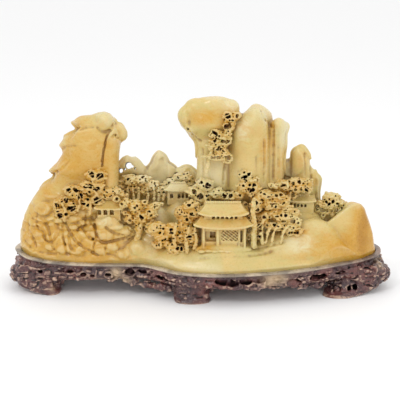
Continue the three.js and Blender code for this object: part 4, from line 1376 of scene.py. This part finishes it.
def soapstone():
    material, nodes, links, shader = new_material("yellow_soapstone")
    wire = Wiring(nodes, links)
    cloud = wire.noise(28, 5, 0.6, 0.6)
    vein = wire.noise(60, 6, 0.65, 1.4, (1, 1, 1.8))
    grain = wire.noise(420, 4, 0.6)
    mottled = wire.blend(wire.ramp(cloud, 0.35, 0.7), CREAM, GREEN_COLOUR)
    mottled = wire.blend(wire.math("MULTIPLY", wire.ramp(vein, 0.5, 0.75), 0.5), mottled, PALE_COLOUR)
    # The pale zones, three of them painted highlights, lighten the stone with cloudy variation
    pale = wire.math("ADD", wire.attribute("pale"), wire.ramp(cloud, 0.3, 0.7, -0.15, 0.15))
    mottled = wire.blend(wire.ramp(pale, 0.1, 0.8, 0, 0.85), mottled, PALE_COLOUR)
    warm_and_shade = wire.math("ADD", wire.attribute("ochre_and_shade"), wire.ramp(vein, 0.25, 0.75, -0.25, 0.25))
    tone = wire.blend(wire.ramp(warm_and_shade, 0.1, 1.0, 0, 0.9), mottled, OCHRE_COLOUR)
    # Deeper ochre where the zones are strongest: partly the stone's own honey-brown, partly painted shade
    # on faces turned from the light, most of all on the right boulder
    tone = wire.blend(wire.ramp(warm_and_shade, 0.8, 1.7, 0, 0.9), tone, DEEP_OCHRE_AND_SHADE)
    relief = wire.attribute("relief")
    # Painted shade: crevices and hollows darkened toward the crevice colour
    crevice_shade = wire.ramp(relief, -1.1, -0.15, 0.6, 0.0)
    tone = wire.blend(crevice_shade, tone, CREVICE_SHADE_COLOUR)
    # Painted highlight: raised edges lightened toward the pale colour
    edge = wire.ramp(relief, 0.25, 0.9, 0.0, 0.3)
    tone = wire.blend(edge, tone, PALE_COLOUR)
    # Painted shade: walls of holes that lie under the uncut stone turn dark brown and rougher
    hole_shade = wire.math("ADD", wire.attribute("hole_shade"), wire.ramp(grain, 0.3, 0.7, -0.1, 0.1), clamp=True)
    tone = wire.blend(wire.ramp(hole_shade, 0.12, 0.75), tone, HOLE_SHADE_COLOUR)
    wire.put(tone, shader.inputs["Base Color"])
    gloss = wire.ramp(grain, 0.3, 0.7, 0.24, 0.38)
    wire.put(wire.blend(hole_shade, gloss, (0.75, 0.75, 0.75, 1)), shader.inputs["Roughness"])
    height = wire.math("ADD", wire.math("MULTIPLY", grain, 0.5), vein)
    wire.put(wire.bump(height, 0.12, 0.0006), shader.inputs["Normal"])
    shader.inputs["Subsurface Weight"].default_value = 0.18
    shader.inputs["Subsurface Radius"].default_value = (0.006, 0.0035, 0.0012)
    shader.inputs["Subsurface Scale"].default_value = 0.6
    shader.inputs["IOR"].default_value = 1.55
    shader.inputs["Coat Weight"].default_value = 0.12
    shader.inputs["Specular IOR Level"].default_value = 0.4
    shader.inputs["Coat Roughness"].default_value = 0.12
    return material


DARK = (0.065, 0.03, 0.034, 1)
RED_BROWN = (0.19, 0.065, 0.055, 1)
VEIN = (0.62, 0.42, 0.30, 1)
# Painted shade: near black for the hollows and pits of the apron
HOLLOW_SHADE = (0.006, 0.004, 0.004, 1)
RIM_GREY = (0.20, 0.165, 0.13, 1)
RIM_CREAM = (0.60, 0.51, 0.37, 1)
PATCH = (0.55, 0.40, 0.24, 1)


def dark_stone():
    material, nodes, links, shader = new_material("dark_stone")
    wire = Wiring(nodes, links)
    cloud = wire.noise(34, 5, 0.6, 0.8)
    fine = wire.noise(150, 6, 0.7, 1.2)
    crackle = nodes.new("ShaderNodeTexVoronoi")
    crackle.feature = "DISTANCE_TO_EDGE"
    crackle.inputs["Scale"].default_value = 170
    warped = nodes.new("ShaderNodeVectorMath")
    warped.operation = "MULTIPLY_ADD"
    offset = nodes.new("ShaderNodeTexNoise")
    offset.inputs["Scale"].default_value = 60
    links.new(wire.place, offset.inputs["Vector"])
    links.new(offset.outputs["Color"], warped.inputs[0])
    warped.inputs[1].default_value = (0.012, 0.012, 0.012)
    links.new(wire.place, warped.inputs[2])
    links.new(warped.outputs[0], crackle.inputs["Vector"])
    tone = wire.blend(wire.ramp(cloud, 0.4, 0.7), DARK, RED_BROWN)
    line = wire.ramp(crackle.outputs["Distance"], 0.0, 0.07, 1.0, 0.0)
    line = wire.math("MULTIPLY", line, wire.ramp(fine, 0.42, 0.6))
    tone = wire.blend(wire.math("MULTIPLY", line, 0.28), tone, VEIN)
    relief = wire.attribute("relief")
    crest = wire.math("ADD", relief, wire.math("MULTIPLY", wire.attribute("lace"), 0.6))
    ridge = wire.math("MULTIPLY", wire.ramp(crest, 0.45, 1.1), wire.ramp(fine, 0.38, 0.62, 0.2, 1.0))
    tone = wire.blend(wire.math("MULTIPLY", ridge, 0.85), tone, VEIN)
    # Painted shade: hollows of the carving darkened to near black
    tone = wire.blend(wire.ramp(relief, -1.0, -0.15, 0.95, 0), tone, HOLLOW_SHADE)
    tone = wire.blend(wire.attribute("patch"), tone, PATCH)
    rim = wire.math("MULTIPLY", wire.attribute("rim"), wire.ramp(fine, 0.25, 0.75, 0.7, 1.0))
    worn = wire.math("MAXIMUM", wire.ramp(cloud, 0.35, 0.6), wire.attribute("patch"))
    tone = wire.blend(rim, tone, wire.blend(worn, RIM_GREY, RIM_CREAM))
    # Painted shade at the bottom of the pits, below the uncut surface
    tone = wire.blend(wire.ramp(wire.attribute("hole_shade"), 0.2, 0.9), tone, HOLLOW_SHADE)
    wire.put(tone, shader.inputs["Base Color"])
    hole_shade = wire.ramp(wire.attribute("hole_shade"), 0.1, 0.6)
    gloss = wire.ramp(fine, 0.3, 0.7, 0.22, 0.42)
    wire.put(wire.blend(hole_shade, gloss, (0.95, 0.95, 0.95, 1)), shader.inputs["Roughness"])
    wire.put(wire.ramp(hole_shade, 0.0, 1.0, 0.5, 0.0), shader.inputs["Specular IOR Level"])
    wire.put(wire.bump(fine, 0.25, 0.0006), shader.inputs["Normal"])
    shader.inputs["IOR"].default_value = 1.55
    return material


def plain_floor():
    material, _, _, shader = new_material("pale_floor")
    shader.inputs["Base Color"].default_value = (0.96, 0.96, 0.96, 1)
    shader.inputs["Roughness"].default_value = 0.9
    return material


# Camera and light
def add_camera():
    camera = bpy.data.objects.new("camera", bpy.data.cameras.new("camera"))
    camera.data.sensor_width = 36
    camera.data.lens = 36 * FOCAL / PHOTO_SIZE
    camera.data.clip_end = 20
    camera.location = Vector(EYE * MM)
    camera.rotation_euler = (math.pi / 2 - ELEVATION, 0, 0)
    bpy.context.scene.collection.objects.link(camera)
    bpy.context.scene.camera = camera


def add_light(name, place, aim, size, power):
    lamp = bpy.data.lights.new(name, "AREA")
    lamp.shape = "RECTANGLE"
    lamp.size, lamp.size_y = size
    lamp.energy = power
    thing = bpy.data.objects.new(name, lamp)
    thing.location = place
    thing.rotation_euler = (Vector(aim) - Vector(place)).to_track_quat("-Z", "Y").to_euler()
    bpy.context.scene.collection.objects.link(thing)


def add_studio():
    world = bpy.data.worlds.new("studio")
    world.use_nodes = True
    world.node_tree.nodes["Background"].inputs["Color"].default_value = (1, 1, 1, 1)
    world.node_tree.nodes["Background"].inputs["Strength"].default_value = 0.98
    bpy.context.scene.world = world
    centre = (0, 0, 0.1)
    add_light("key", (-0.6, -0.9, 1.2), centre, (0.2, 0.2), 3.2)
    add_light("top", (0.1, 0.1, 1.3), centre, (0.8, 0.6), 1.5)
    add_light("side", (0.9, -0.7, 0.5), centre, (0.2, 0.8), 0.8)
    bpy.context.scene.view_settings.view_transform = "Standard"


def add_floor(half=6):
    floor = bpy.data.meshes.new("floor")
    corners = [(-half, -half, 0), (half, -half, 0), (half, half, 0), (-half, half, 0)]
    floor.from_pydata(corners, [], [(0, 1, 2, 3)])
    thing = bpy.data.objects.new("floor", floor)
    floor.materials.append(plain_floor())
    bpy.context.scene.collection.objects.link(thing)


def add_stone(name, field, most, keep_parts=False, warmth=0, drilled=True):
    """A piece of the mountain: its mesh, the marks that its colours need, and its material."""
    thing = skin(name, field, most, keep_parts)
    spots = points_of(thing)
    under = np.max([-whole.at(spots) for whole in wholes], 0)
    mark(thing, "ochre_and_shade", zone_value(spots, OCHRE_AND_SHADE) + warmth)
    mark(thing, "pale", zone_value(spots, PALE_AND_HIGHLIGHTS))
    # Painted shade on the walls of holes and hollows, from how deep each point lies under the uncut stone
    mark(thing, "hole_shade", np.clip((under - 0.8) / 2.2, 0, 1) * drilled)
    relief = field.blurred(2).at(spots) + 0.5 * field.blurred(5).at(spots)
    mark(thing, "relief", np.clip(relief / field.voxel, -2, 2))
    thing.data.materials.append(stone)
    pieces.append((thing, "mountain_carving", "yellow_soapstone"))


def add_stand():
    field, whole = make_stand(STAND_VOXEL)
    thing = skin("stand", field, STAND_MOST)
    spots = points_of(thing)
    x, z = spots[:, 0], spots[:, 2]
    mark(thing, "relief", np.clip(field.blurred(2).at(spots) / field.voxel, -2, 2))
    # Painted shade on the walls of the pits, from how deep they lie under the uncut stand
    mark(thing, "hole_shade", np.clip((-whole.at(spots) - 1.5) / 3, 0, 1))
    rim_share = np.clip((z - rim_height(x) + HEM) / 1.2, 0, 1)
    mark(thing, "rim", rim_share * np.interp(x, (100, 200), (1, 0.35)))
    mark(thing, "patch", zone_value(spots, PATCHES))
    mark(thing, "lace", zone_value(spots, LACE).clip(0, 1))
    thing.data.materials.append(dark_stone())
    pieces.append((thing, "carved_stand", "dark_stone"))


add_camera()
add_studio()
add_floor()
stone = soapstone()
pieces = []

rock = make_rock(ROCK_VOXEL)
groves = {name: make_grove(name, 100 + k, GROVE_VOXEL) for k, name in enumerate(GROVES)}
pavilions = {name: make_pavilion(name, PAVILION_VOXEL) for name in PAVILIONS}
# The stone before it is hollowed and drilled, to tell the walls of holes from the surface
wholes = [rock.copy()] + [grove.copy() for grove in groves.values()]
hollow_behind(rock)
drill_groves(groves, rock, wholes[0])
pierce(rock, wholes[0])

add_stone("rock", rock, ROCK_MOST)
for name, grove in groves.items():
    add_stone(name.replace(" ", "_"), grove, GROVE_MOST, keep_parts=True, warmth=LEAF_WARMTH)
for name, pavilion in pavilions.items():
    add_stone("pavilion_" + name, pavilion, PAVILION_MOST, drilled=False)
add_stand()

for piece, node, slot in pieces:
    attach(piece, "root")
    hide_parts(node)
